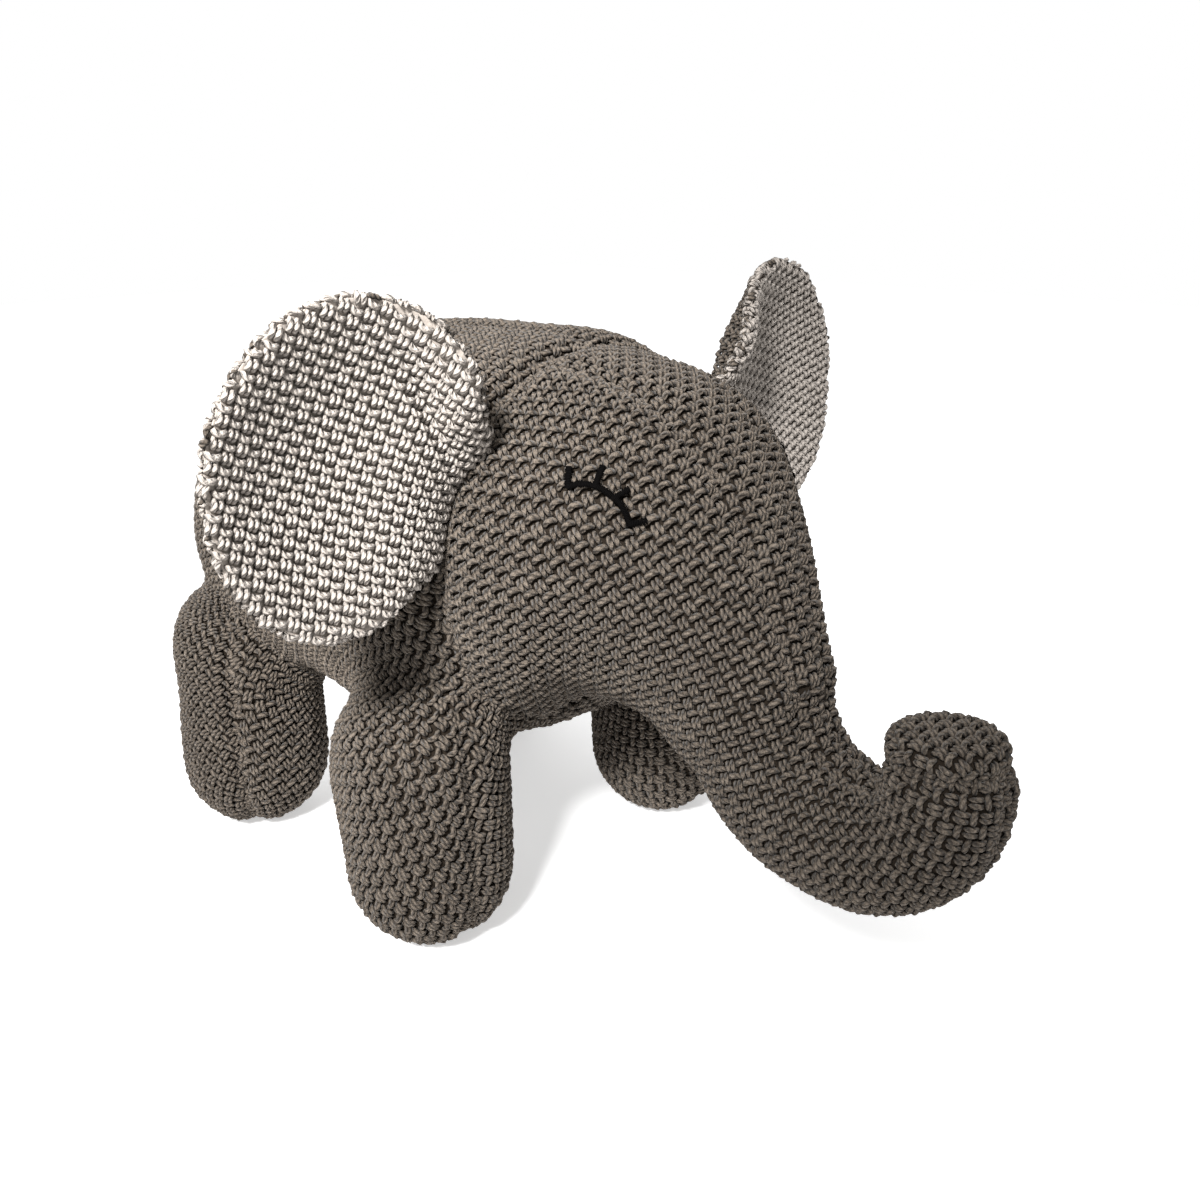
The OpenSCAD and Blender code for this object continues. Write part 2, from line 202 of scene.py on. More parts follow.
class StageSettings(bpy.types.PropertyGroup):
    azimuth: angle(
        "Azimuth", "Camera direction round the toy",
        math.radians(-46.3))
    elevation: angle(
        "Elevation", "Camera height above level",
        math.radians(20.4))
    distance: length(
        "Distance", "Camera distance from the point it looks at",
        0.527)
    look: bpy.props.FloatVectorProperty(
        name="Look", description="Point looked at, from the middle of the toy's box",
        default=(0.0158, -0.0121, -0.0049), size=3, subtype="TRANSLATION", unit="LENGTH")
    lens: bpy.props.FloatProperty(name="Lens", description="Focal length in millimetres", default=33.9)
    floor: length(
        "Floor", "Width of the floor",
        6.0)


SETTINGS = {
    "elephant_knit": KnitSettings, "elephant_form": FormSettings, "elephant_ears": EarSettings,
    "elephant_colours": ColourSettings, "elephant_stage": StageSettings,
}


def settings(name):
    """One of this add-on's groups of settings."""
    return getattr(bpy.context.scene, "elephant_" + name)


# ---------- triangles as arrays ----------


def mesh_of(name, points, tris, smooth=True):
    """A Blender mesh from points and triangles."""
    mesh = bpy.data.meshes.new(name)
    mesh.from_pydata(points.tolist(), [], tris.tolist())
    if smooth:
        mesh.polygons.foreach_set("use_smooth", np.ones(len(mesh.polygons), bool))
    mesh.update()
    return mesh


def piece_of(name, mesh):
    """An object at the origin that shows mesh."""
    piece = bpy.data.objects.new(name, mesh)
    bpy.context.scene.collection.objects.link(piece)
    return piece


def final_mesh(piece):
    """The mesh that piece's modifiers leave, as a plain mesh."""
    bpy.context.view_layer.update()
    graph = bpy.context.evaluated_depsgraph_get()
    return bpy.data.meshes.new_from_object(piece.evaluated_get(graph))


def arrays_of(mesh):
    """Points and triangles of a mesh."""
    mesh.calc_loop_triangles()
    co = np.zeros(len(mesh.vertices) * 3, np.float32)
    mesh.vertices.foreach_get("co", co)
    index = np.zeros(len(mesh.loop_triangles) * 3, np.int32)
    mesh.loop_triangles.foreach_get("vertices", index)
    return co.reshape(-1, 3).astype(float), index.reshape(-1, 3).astype(int)


def joined(parts):
    """Several parts as one; each is points, triangles and maybe the ply coordinates of its triangles."""
    firsts = np.cumsum([0] + [len(part[0]) for part in parts[:-1]])
    tris = [part[1] + first for part, first in zip(parts, firsts)]
    more = [np.vstack(rows) for rows in zip(*[part[2:] for part in parts])]
    return (np.vstack([part[0] for part in parts]), np.vstack(tris), *more)


def node_triangles(names):
    """Points and triangles of several CAD nodes together."""
    return joined([arrays_of(frame["nodes"][name].data) for name in names])


def set_attribute(mesh, label, kind, values):
    """Stores a number or a vector for each point of a mesh."""
    attribute = mesh.attributes.new(label, kind, "POINT")
    field = "value" if kind == "FLOAT" else "vector"
    attribute.data.foreach_set(field, np.asarray(values, np.float32).ravel())


def yarn_mesh(name, points, tris, ply, **facts):
    """A mesh of yarn with its ply coordinates; facts are values for its points."""
    mesh = mesh_of(name, points, tris)
    mesh.uv_layers.new(name="ply").uv.foreach_set("vector", ply.astype(np.float32).ravel())
    for label, values in facts.items():
        set_attribute(mesh, label, "FLOAT", np.broadcast_to(values, len(points)))
    return mesh


def used_only(points, tris, *more):
    """Drops the points that no triangle uses; more are arrays with a row for each point."""
    kept, index = np.unique(tris, return_inverse=True)
    return (points[kept], index.reshape(-1, 3), *[rows[kept] for rows in more])


def largest_shell(points, tris):
    """The connected shell with the most triangles."""
    label = np.arange(len(points))
    while True:
        low = label[tris].min(1)
        new = label.copy()
        for corner in range(3):
            np.minimum.at(new, tris[:, corner], low)
        new = new[new]
        if (new == label).all():
            break
        label = new
    shells, counts = np.unique(label[tris[:, 0]], return_counts=True)
    return used_only(points, tris[label[tris[:, 0]] == shells[counts.argmax()]])


def edges_of(tris):
    """Each edge once."""
    pairs = np.vstack([tris[:, [0, 1]], tris[:, [1, 2]], tris[:, [2, 0]]])
    return np.unique(np.sort(pairs, axis=1), axis=0)


def neighbour_mean(values, edges):
    """The mean of each point's neighbours."""
    a, b = edges.T
    count = np.bincount(a, minlength=len(values)) + np.bincount(b, minlength=len(values))
    total = np.stack([
        np.bincount(a, values[b, k], len(values)) + np.bincount(b, values[a, k], len(values))
        for k in range(values.shape[1])], axis=1)
    return total / np.maximum(count, 1)[:, None]


def relaxed(points, tris, rounds, share, back=0.0, weight=1.0):
    """Smooths points towards their neighbours; with back, a second step restores the volume."""
    edges = edges_of(tris)
    weight = np.broadcast_to(weight, len(points))[:, None]
    for _ in range(rounds):
        points = points + share * weight * (neighbour_mean(points, edges) - points)
        if back:
            points = points - back * weight * (neighbour_mean(points, edges) - points)
    return points


def normals_of(points, tris):
    """Outward unit normal at each point."""
    a, b, c = (points[tris[:, k]] for k in range(3))
    face = np.cross(b - a, c - a)
    total = np.stack([
        sum(np.bincount(tris[:, k], face[:, axis], len(points)) for k in range(3))
        for axis in range(3)], axis=1)
    return total / np.maximum(np.linalg.norm(total, axis=1), 1e-12)[:, None]


def reach_to(points, names, most=0.03):
    """Distance from each point to each named CAD node's surface, at most `most`."""
    reach = np.full((len(points), len(names)), most)
    vectors = [Vector(p) for p in points]
    for column, name in enumerate(names):
        node_points, tris = node_triangles([name])
        tree = BVHTree.FromPolygons(node_points.tolist(), tris.tolist())
        low, high = node_points.min(0) - most, node_points.max(0) + most
        near = np.flatnonzero(((points > low) & (points < high)).all(1))
        for i in near:
            found = tree.find_nearest(vectors[i], most)
            if found[3] is not None:
                reach[i, column] = found[3]
    return reach


def divided(points, reach, tris):
    """Splits triangles along the borders between the nearest covers and gives each an owner."""
    owner = reach.argmin(1)
    ends = np.stack([tris, np.roll(tris, -1, axis=1)], axis=2)
    differs = owner[ends[..., 0]] != owner[ends[..., 1]]
    cut, inverse = np.unique(np.sort(ends[differs], axis=1), axis=0, return_inverse=True)
    a, b = cut.T
    gain_a = reach[a, owner[b]] - reach[a, owner[a]]
    gain_b = reach[b, owner[a]] - reach[b, owner[b]]
    share = np.clip(gain_a / np.maximum(gain_a + gain_b, 1e-9), 0.12, 0.88)[:, None]
    middle = np.full(tris.shape, -1)
    middle[differs] = len(points) + inverse.ravel()
    points = np.vstack([points, points[a] * (1 - share) + points[b] * share])
    reach = np.vstack([reach, reach[a] * (1 - share) + reach[b] * share])
    cuts = differs.sum(1)
    whole = tris[cuts == 0]
    new_tris, owners = [whole], [owner[whole[:, 0]]]
    two, mid = tris[cuts == 2], middle[cuts == 2]
    uncut = (~differs[cuts == 2]).argmax(1)[:, None]
    p, q, r = (np.take_along_axis(two, (uncut + k) % 3, 1)[:, 0] for k in range(3))
    mid_qr, mid_rp = (np.take_along_axis(mid, (uncut + k) % 3, 1)[:, 0] for k in (1, 2))
    for corners, keeper in (((r, mid_rp, mid_qr), r), ((p, q, mid_qr), p), ((p, mid_qr, mid_rp), p)):
        new_tris.append(np.stack(corners, axis=1))
        owners.append(owner[keeper])
    v, e = tris[cuts == 3].T, middle[cuts == 3].T
    for corners, keeper in (((v[0], e[0], e[2]), v[0]), ((v[1], e[1], e[0]), v[1]),
                            ((v[2], e[2], e[1]), v[2]), ((e[0], e[1], e[2]), v[0])):
        new_tris.append(np.stack(corners, axis=1))
        owners.append(owner[keeper])
    return points, reach, np.vstack(new_tris), np.concatenate(owners)


def widened(points, tris, owners, by):
    """Adds a strip `by` wide along each open edge, owned like the triangle beside it."""
    sides = np.vstack([tris[:, [0, 1]], tris[:, [1, 2]], tris[:, [2, 0]]])
    beside = np.concatenate([owners] * 3)
    size = len(points)
    key, back = sides[:, 0] * size + sides[:, 1], sides[:, 1] * size + sides[:, 0]
    open_side = ~np.isin(key, back)
    sides, beside = sides[open_side], beside[open_side]
    normals = normals_of(points, tris)
    out = np.cross(points[sides[:, 1]] - points[sides[:, 0]], normals[sides[:, 0]])
    total = np.zeros_like(points)
    for column in (0, 1):
        np.add.at(total, sides[:, column], out / np.linalg.norm(out, axis=1)[:, None])
    rim = np.unique(sides)
    way = total[rim] / np.maximum(np.linalg.norm(total[rim], axis=1), 1e-9)[:, None]
    place = np.full(size, -1)
    place[rim] = size + np.arange(len(rim))
    points = np.vstack([points, points[rim] + by * way])
    a, b = sides.T
    strip = np.vstack([np.stack([a, place[b], b], 1), np.stack([a, place[a], place[b]], 1)])
    return points, np.vstack([tris, strip]), np.concatenate([owners, beside, beside])


def capped(points, tris):
    """Closes each open rim with a fan."""
    sides = np.vstack([tris[:, [0, 1]], tris[:, [1, 2]], tris[:, [2, 0]]])
    seen = set(map(tuple, sides.tolist()))
    following = {b: a for a, b in seen if (b, a) not in seen}
    fans = []
    while following:
        start, end = following.popitem()
        loop = [start]
        while end != start and end in following:
            loop.append(end)
            end = following.pop(end)
        hub = len(points)
        points = np.vstack([points, points[loop].mean(0)])
        fans += [[loop[i], loop[(i + 1) % len(loop)], hub] for i in range(len(loop))]
    return points, np.vstack([tris, fans]) if fans else tris


# ---------- the stuffed form ----------

# Where the stuffing is fuller or thinner on both sides: the place on the left, its radius, how much
BULGES = (
    ((0.075, 0.180, 0.145), 0.045, 0.007),
    ((0.105, 0.177, 0.088), 0.030, -0.004),
    ((0.085, 0.040, 0.076), 0.026, 0.010),
)
made = {}


# Smoothing: the share of the way to the neighbours, and the step back that keeps the volume
SMOOTH = 0.5
SMOOTH_BACK = 0.53
FORM_ROUNDS = 12
HIP_ROUNDS = 18
SWELL_PRESSURE = 4.0
SWELL_FRAMES = 20


def voxel_form(points, tris, voxel):
    """One closed skin round everything in points and tris."""
    piece = piece_of("voxel_form", mesh_of("voxel_form", points, tris))
    remesh = piece.modifiers.new("voxels", "REMESH")
    remesh.mode = "VOXEL"
    remesh.voxel_size = voxel
    mesh = final_mesh(piece)
    bpy.data.objects.remove(piece)
    return arrays_of(mesh)


def swelled(points, tris, pinned, most):
    """Blows the covers up between their seams with a cloth simulation, by no more than `most`."""
    piece = piece_of("swelling_form", mesh_of("swelling_form", points, tris))
    pins = piece.vertex_groups.new(name="seams")
    for share in (0.25, 0.5, 0.75, 1.0):
        chosen = np.flatnonzero((pinned > share - 0.25) & (pinned <= share))
        pins.add(chosen.tolist(), share, "REPLACE")
    cloth = piece.modifiers.new("swell", "CLOTH")
    cloth.settings.quality = 4
    cloth.settings.use_pressure = True
    cloth.settings.uniform_pressure_force = SWELL_PRESSURE
    cloth.settings.vertex_group_mass = "seams"
    cloth.settings.pin_stiffness = 1.0
    cloth.settings.effector_weights.gravity = 0.0
    cloth.point_cache.frame_start = 1
    cloth.point_cache.frame_end = SWELL_FRAMES
    scene = bpy.context.scene
    for number in range(1, SWELL_FRAMES + 1):
        scene.frame_set(number)
    blown, _ = arrays_of(final_mesh(piece))
    scene.frame_set(1)
    bpy.data.objects.remove(piece)
    move = blown - points
    length = np.linalg.norm(move, axis=1)[:, None]
    return points + move * np.minimum(1.0, most / np.maximum(length, 1e-9))


def stuffed_form():
    """The toy's skin without ears and tail, divided along the seams of its covers."""
    if "form" in made:
        return made["form"]
    form = settings("form")
    points, tris = voxel_form(*node_triangles(COVERS + FILLINGS), form.voxel)
    points, tris = largest_shell(points, tris)
    points = relaxed(points, tris, FORM_ROUNDS, SMOOTH, back=SMOOTH_BACK)
    reach = reach_to(points, COVERS)
    leg_columns = [i for i, name in enumerate(COVERS) if name.startswith("leg_")]
    rest_columns = [i for i in range(len(COVERS)) if i not in leg_columns]
    hip = reach[:, leg_columns].min(1) - reach[:, rest_columns].min(1)
    near_hip = np.exp(-((hip / form.hip_blend) ** 2))
    points = relaxed(points, tris, HIP_ROUNDS, SMOOTH, weight=near_hip)
    mirrored = np.abs(points * (1, 0, 0)) + points * (0, 1, 1)
    normals = normals_of(points, tris)
    for centre, radius, amount in BULGES:
        near = np.exp(-(np.linalg.norm(mirrored - centre, axis=1) / radius) ** 2)
        points = points + normals * (amount * near)[:, None]
    cloths = np.stack([
        reach[:, [COVERS.index(node) for node in nodes]].min(1) for nodes in CLOTHS.values()], axis=1)
    ranked = np.sort(cloths, axis=1)
    seam = np.exp(-(((ranked[:, 1] - ranked[:, 0]) / form.seam_reach) ** 2))
    points = points - normals_of(points, tris) * form.yarn_room
    points = swelled(points, tris, seam, form.swell)
    points = relaxed(points, tris, 2, SMOOTH, back=SMOOTH_BACK)
    points = points - normals_of(points, tris) * (seam * form.seam_depth)[:, None]
    made["form"] = divided(points, reach, tris)
    return made["form"]


def form_tree():
    """The stuffed form, ready for finding the nearest place on it."""
    points, _, tris, _ = stuffed_form()
    return BVHTree.FromPolygons(points.tolist(), tris.tolist())


def flattened(points, tris):
    """Lays a cloth flat with the least stretch; returns a flat place for each point, in metres."""
    piece = piece_of("flat_cloth", mesh_of("flat_cloth", points, tris))
    bpy.context.view_layer.objects.active = piece
    piece.select_set(True)
    bpy.ops.object.mode_set(mode="EDIT")
    bpy.ops.mesh.select_all(action="SELECT")
    bpy.ops.uv.unwrap(method="MINIMUM_STRETCH", margin=0.0, iterations=12)
    bpy.ops.object.mode_set(mode="OBJECT")
    mesh = piece.data
    loops = np.zeros(len(mesh.loops), np.int32)
    mesh.loops.foreach_get("vertex_index", loops)
    corner = np.zeros(len(mesh.loops) * 2, np.float32)
    mesh.uv_layers.active.uv.foreach_get("vector", corner)
    flat = np.zeros((len(points), 2))
    flat[loops] = corner.reshape(-1, 2)
    bpy.data.objects.remove(piece)
    a, b, c = (points[tris[:, k]] for k in range(3))
    area = np.linalg.norm(np.cross(b - a, c - a), axis=1).sum()
    e, f = flat[tris[:, 1]] - flat[tris[:, 0]], flat[tris[:, 2]] - flat[tris[:, 0]]
    turned = e[:, 0] * f[:, 1] - e[:, 1] * f[:, 0]
    if turned.sum() < 0:
        flat[:, 0] *= -1
    flat *= math.sqrt(area / abs(turned).sum())
    return flat - flat.mean(0)


def stretch_vectors(points, tris, flat):
    """How the surface moves for a step along each flat axis, at points and triangles, and flat areas."""
    p = points[tris]
    q = flat[tris]
    e, f = p[:, 1] - p[:, 0], p[:, 2] - p[:, 0]
    g, h = q[:, 1] - q[:, 0], q[:, 2] - q[:, 0]
    area = g[:, 0] * h[:, 1] - g[:, 1] * h[:, 0]
    area = np.where(np.abs(area) < 1e-12, 1e-12, area)
    across = (e * h[:, 1:2] - f * g[:, 1:2]) / area[:, None]
    along = (f * g[:, 0:1] - e * h[:, 0:1]) / area[:, None]
    weight = np.abs(area)
    total = np.zeros((len(points), 6))
    count = np.zeros(len(points))
    for k in range(3):
        count += np.bincount(tris[:, k], weight, len(points))
        for axis in range(3):
            total[:, axis] += np.bincount(tris[:, k], weight * across[:, axis], len(points))
            total[:, axis + 3] += np.bincount(tris[:, k], weight * along[:, axis], len(points))
    total /= np.maximum(count, 1e-12)[:, None]
    return total[:, :3], total[:, 3:], across, along, weight


def turned_to(points, tris, flat, direction):
    """Turns the flat cloth so that its second axis runs along direction on the toy."""
    _, _, across, along, weight = stretch_vectors(points, tris, flat)
    direction = np.array(direction, float)
    x = ((across @ direction) / np.maximum((across**2).sum(1), 1e-6) * weight).sum()
    y = ((along @ direction) / np.maximum((along**2).sum(1), 1e-6) * weight).sum()
    length = math.hypot(x, y)
    c, s = y / length, x / length
    return flat @ np.array([[c, s], [-s, c]])


# ---------- stitches ----------

# A stitch grows with its cloth's stretch, up to this
MOST_STRETCH = 1.3


def strand(path, radius, sides, flatten=0.9):
    """A closed strand of yarn along path that thins to a point at each end.

    Returns points, triangles and the ply coordinates of each triangle's corners."""
    path = np.array(path, float)
    count = len(path)
    step = np.gradient(path, axis=0)
    step /= np.linalg.norm(step, axis=1)[:, None]
    side = np.cross(step, (0, 0, 1))
    side /= np.linalg.norm(side, axis=1)[:, None]
    up = np.cross(side, step)
    along = np.concatenate([[0], np.cumsum(np.linalg.norm(np.diff(path, axis=0), axis=1))])
    points, tris, ply = [path[0]], [], []
    angles = 2 * np.pi * np.arange(sides) / sides
    for i in range(1, count - 1):
        swell = radius * (0.72 + 0.28 * math.sin(math.pi * i / (count - 1)))
        for angle in angles:
            points.append(path[i] + side[i] * swell * math.cos(angle)
                          + up[i] * swell * flatten * math.sin(angle))
    points.append(path[-1])
    last = len(points) - 1

    def ring(i, k):
        return 1 + (i - 1) * sides + k % sides

    for k in range(sides):
        tris.append((0, ring(1, k + 1), ring(1, k)))
        ply.append(((along[0], k + 0.5), (along[1], k + 1), (along[1], k)))
        tris.append((last, ring(count - 2, k), ring(count - 2, k + 1)))
        ply.append(((along[-1], k + 0.5), (along[-2], k), (along[-2], k + 1)))
        for i in range(1, count - 2):
            tris.append((ring(i, k), ring(i, k + 1), ring(i + 1, k + 1)))
            tris.append((ring(i, k), ring(i + 1, k + 1), ring(i + 1, k)))
            ply.append(((along[i], k), (along[i], k + 1), (along[i + 1], k + 1)))
            ply.append(((along[i], k), (along[i + 1], k + 1), (along[i + 1], k)))
    ply = np.array(ply, float)
    ply[..., 1] /= sides
    return np.array(points), np.array(tris), ply


def stitch_piece(name, strands):
    """An object that holds one stitch, made of strands."""
    points, tris, ply = joined(strands)
    low, high = points[:, 2].min(), points[:, 2].max()
    # proud is the share of the stitch's height; the yarn colour uses it to paint shade on the strands' lower
    # parts
    return piece_of(name, yarn_mesh(name, points, tris, ply, proud=(points[:, 2] - low) / (high - low)))


def knit_stitch(width, height, yarn_r):
    """Two strands side by side that lean apart at the top."""
    strands = []
    for way in (-1, 1):
        path = []
        for t in np.linspace(0, 1, 6):
            path.append((way * (0.175 + 0.085 * t) * width, (-0.74 + 1.48 * t) * height,
                         yarn_r * (-0.85 + 1.65 * math.sin(math.pi * t) ** 0.7)))
        strands.append(strand(path, yarn_r, 5))
    return stitch_piece("knit_stitch", strands)


def purl_stitch(width, height, yarn_r):
    """One strand that bulges across the stitch and sags in its middle."""
    path = []
    for t in np.linspace(0, 1, 8):
        path.append(((-0.62 + 1.24 * t) * width, (0.17 - 0.36 * math.sin(math.pi * t)) * height,
                     yarn_r * (-0.85 + 1.80 * math.sin(math.pi * t) ** 0.7)))
    return stitch_piece("purl_stitch", [strand(path, 1.12 * yarn_r, 5)])


class Tree:
    """A Geometry Nodes tree that is put together node by node."""

    def __init__(self, name):
        self.group = bpy.data.node_groups.new(name, "GeometryNodeTree")
        self.entry = self.group.nodes.new("NodeGroupInput")
        self.exit = self.group.nodes.new("NodeGroupOutput")
        self.socket("Geometry", "NodeSocketGeometry", "INPUT")
        self.socket("Geometry", "NodeSocketGeometry", "OUTPUT")

    def socket(self, name, kind, way="INPUT"):
        self.group.interface.new_socket(name=name, in_out=way, socket_type=kind)
        return name

    def link(self, source, target):
        if isinstance(source, bpy.types.NodeSocket):
            self.group.links.new(source, target)
        else:
            target.default_value = source

    def add(self, kind, inputs=(), **facts):
        node = self.group.nodes.new(kind)
        for fact, value in facts.items():
            setattr(node, fact, value)
        for key, value in dict(inputs).items():
            self.link(value, node.inputs[key])
        return node

    def given(self, name):
        return self.entry.outputs[name]

    def math(self, operation, a, b=0.0):
        return self.add("ShaderNodeMath", {0: a, 1: b}, operation=operation).outputs[0]

    def random(self, low, high, seed):
        node = self.add("FunctionNodeRandomValue", data_type="FLOAT")
        self.link(low, node.inputs[2])
        self.link(high, node.inputs[3])
        self.link(seed, node.inputs["Seed"])
        return node.outputs[1]

    def named(self, name, kind="FLOAT_VECTOR"):
        return self.add("GeometryNodeInputNamedAttribute", {"Name": name}, data_type=kind).outputs[0]

    def turned(self, along, spread, seed):
        """A rotation that stands on the surface and lies along a direction, a little out of line."""
        facing = self.add("FunctionNodeAxesToRotation", {
            "Primary Axis": self.named("up"), "Secondary Axis": self.named(along)},
            primary_axis="Z", secondary_axis="Y")
        twist = self.add("FunctionNodeAxisAngleToRotation", {
            "Axis": (0, 0, 1),
            "Angle": self.random(self.math("MULTIPLY", spread, -1.0), spread, seed)})
        turn = self.add("FunctionNodeRotateRotation", {0: facing.outputs[0], 1: twist.outputs[0]},
                        rotation_space="LOCAL")
        return turn.outputs[0]


def grown(piece, group, values):
    """Runs a Geometry Nodes tree on a piece with these inputs and keeps the mesh that it makes."""
    modifier = piece.modifiers.new(group.name, "NODES")
    modifier.node_group = group
    for socket in group.interface.items_tree:
        if socket.item_type == "SOCKET" and socket.name in values:
            modifier[socket.identifier] = values[socket.name]
    result = final_mesh(piece)
    modifier.node_group = None
    piece.modifiers.clear()
    piece.data = result
    return result


def knit_tree():
    """Lays a checkerboard of knit and purl stitches over a cloth by its flat layout."""
    if "knit_tree" in made:
        return made["knit_tree"]
    tree = Tree("moss_stitch")
    for name, kind in (("Stitch width", "Float"), ("Stitch height", "Float"), ("Columns", "Int"),
                       ("Rows", "Int"), ("Turn spread", "Float"), ("Size spread", "Float"),
                       ("Seed", "Int"), ("Knit stitch", "Object"), ("Purl stitch", "Object"),
                       ("Yarn", "Material")):
        tree.socket(name, "NodeSocket" + kind)
    width, height = tree.given("Stitch width"), tree.given("Stitch height")
    columns, rows = tree.given("Columns"), tree.given("Rows")
    grid = tree.add("GeometryNodeMeshGrid", {
        "Size X": tree.math("MULTIPLY", width, tree.math("SUBTRACT", columns, 1)),
        "Size Y": tree.math("MULTIPLY", height, tree.math("SUBTRACT", rows, 1)),
        "Vertices X": columns, "Vertices Y": rows})
    place = tree.add("GeometryNodeInputPosition").outputs[0]
    parts = tree.add("ShaderNodeSeparateXYZ", {0: place})
    column = tree.math("ROUND", tree.math("DIVIDE", parts.outputs[0], width))
    row = tree.math("ROUND", tree.math("DIVIDE", parts.outputs[1], height))
    parity = tree.math("FLOORED_MODULO", tree.math("ADD", column, row), 2.0)
    layout = tree.named("flat")

    def sampled(value):
        return tree.add("GeometryNodeSampleUVSurface", {
            "Mesh": tree.given("Geometry"), "Value": value, "Source UV Map": layout,
            "Sample UV": place}, data_type="FLOAT_VECTOR")

    spot = sampled(tree.add("GeometryNodeInputPosition").outputs[0])
    stored = grid.outputs[0]
    for name, kind, value in (
            ("purl", "FLOAT", parity),
            ("up", "FLOAT_VECTOR", sampled(tree.add("GeometryNodeInputNormal").outputs[0]).outputs[0]),
            ("across_step", "FLOAT_VECTOR", sampled(tree.named("across")).outputs[0]),
            ("along_step", "FLOAT_VECTOR", sampled(tree.named("along")).outputs[0]),
            ("inside", "BOOLEAN", spot.outputs["Is Valid"])):
        stored = tree.add("GeometryNodeStoreNamedAttribute", {
            "Geometry": stored, "Name": name, "Value": value},
            data_type=kind, domain="POINT").outputs[0]
    moved = tree.add("GeometryNodeSetPosition", {"Geometry": stored, "Position": spot.outputs[0]})
    kept = tree.add("GeometryNodeSeparateGeometry", {
        "Geometry": moved.outputs[0], "Selection": tree.named("inside", "BOOLEAN")}, domain="POINT")
    seed = tree.given("Seed")
    turn = tree.turned("along_step", tree.given("Turn spread"), seed)
    grow = tree.given("Size spread")
    size = tree.math("ADD", 1.0, tree.random(tree.math("MULTIPLY", grow, -1.0), grow,
                                             tree.math("ADD", seed, 1)))

    def length_of(name):
        step = tree.add("ShaderNodeVectorMath", {0: tree.named(name)}, operation="LENGTH")
        return tree.math("MINIMUM", step.outputs["Value"], MOST_STRETCH)

    scale = tree.add("ShaderNodeCombineXYZ", {
        0: tree.math("MULTIPLY", size, length_of("across_step")),
        1: tree.math("MULTIPLY", size, length_of("along_step")), 2: size})
    purl_here = tree.math("GREATER_THAN", tree.named("purl", "FLOAT"), 0.5)
    joined = tree.add("GeometryNodeJoinGeometry")
    for stitch, chosen in (("Knit stitch", tree.math("SUBTRACT", 1.0, purl_here)),
                           ("Purl stitch", purl_here)):
        shape = tree.add("GeometryNodeObjectInfo", {"Object": tree.given(stitch), "As Instance": True})
        laid = tree.add("GeometryNodeInstanceOnPoints", {
            "Points": kept.outputs[0], "Selection": chosen, "Instance": shape.outputs["Geometry"],
            "Rotation": turn, "Scale": scale.outputs[0]})
        tree.link(laid.outputs[0], joined.inputs[0])
    toned = tree.add("GeometryNodeStoreNamedAttribute", {
        "Geometry": joined.outputs[0], "Name": "tone",
        "Value": tree.random(0.0, 1.0, tree.math("ADD", seed, 2))}, data_type="FLOAT", domain="INSTANCE")
    real = tree.add("GeometryNodeRealizeInstances", {"Geometry": toned.outputs[0]})
    yarn = tree.add("GeometryNodeSetMaterial", {
        "Geometry": real.outputs[0], "Material": tree.given("Yarn")})
    tree.link(yarn.outputs[0], tree.exit.inputs[0])
    made["knit_tree"] = tree.group
    return tree.group


def knitted(name, points, tris, corner_flat, vectors, width, height, yarn):
    """A piece of knitting over a cloth: corner_flat is the flat place of each triangle's corners."""
    knit = settings("knit")
    mesh = mesh_of(name, points, tris)
    layer = mesh.uv_layers.new(name="flat")
    layer.uv.foreach_set("vector", corner_flat.astype(np.float32).ravel())
    for label, values in zip(("across", "along"), vectors):
        set_attribute(mesh, label, "FLOAT_VECTOR", values)
    piece = piece_of(name, mesh)
    key = (round(width, 6), round(height, 6))
    if key not in made:
        made[key] = tuple(make(width, height, knit.yarn_d / 2) for make in (knit_stitch, purl_stitch))
    reach = np.abs(corner_flat).reshape(-1, 2).max(0)
    values = {
        "Stitch width": width, "Stitch height": height, "Columns": 2 * int(reach[0] / width) + 3,
        "Rows": 2 * int(reach[1] / height) + 3, "Turn spread": knit.turn_jitter,
        "Size spread": knit.size_jitter, "Seed": knit.seed, "Knit stitch": made[key][0],
        "Purl stitch": made[key][1], "Yarn": yarn}
    result = grown(piece, knit_tree(), values)
    for label in ("purl", "up", "across_step", "along_step", "inside"):
        if label in result.attributes:
            result.attributes.remove(result.attributes[label])
    if not len(result.polygons):
        raise RuntimeError(f"{name} got no stitches")
    return piece


def clear_stitches():
    """Removes the stitch shapes once every cover is knitted."""
    for key in [k for k in made if isinstance(k, tuple)]:
        for shape in made.pop(key):
            bpy.data.objects.remove(shape)


# ---------- materials ----------


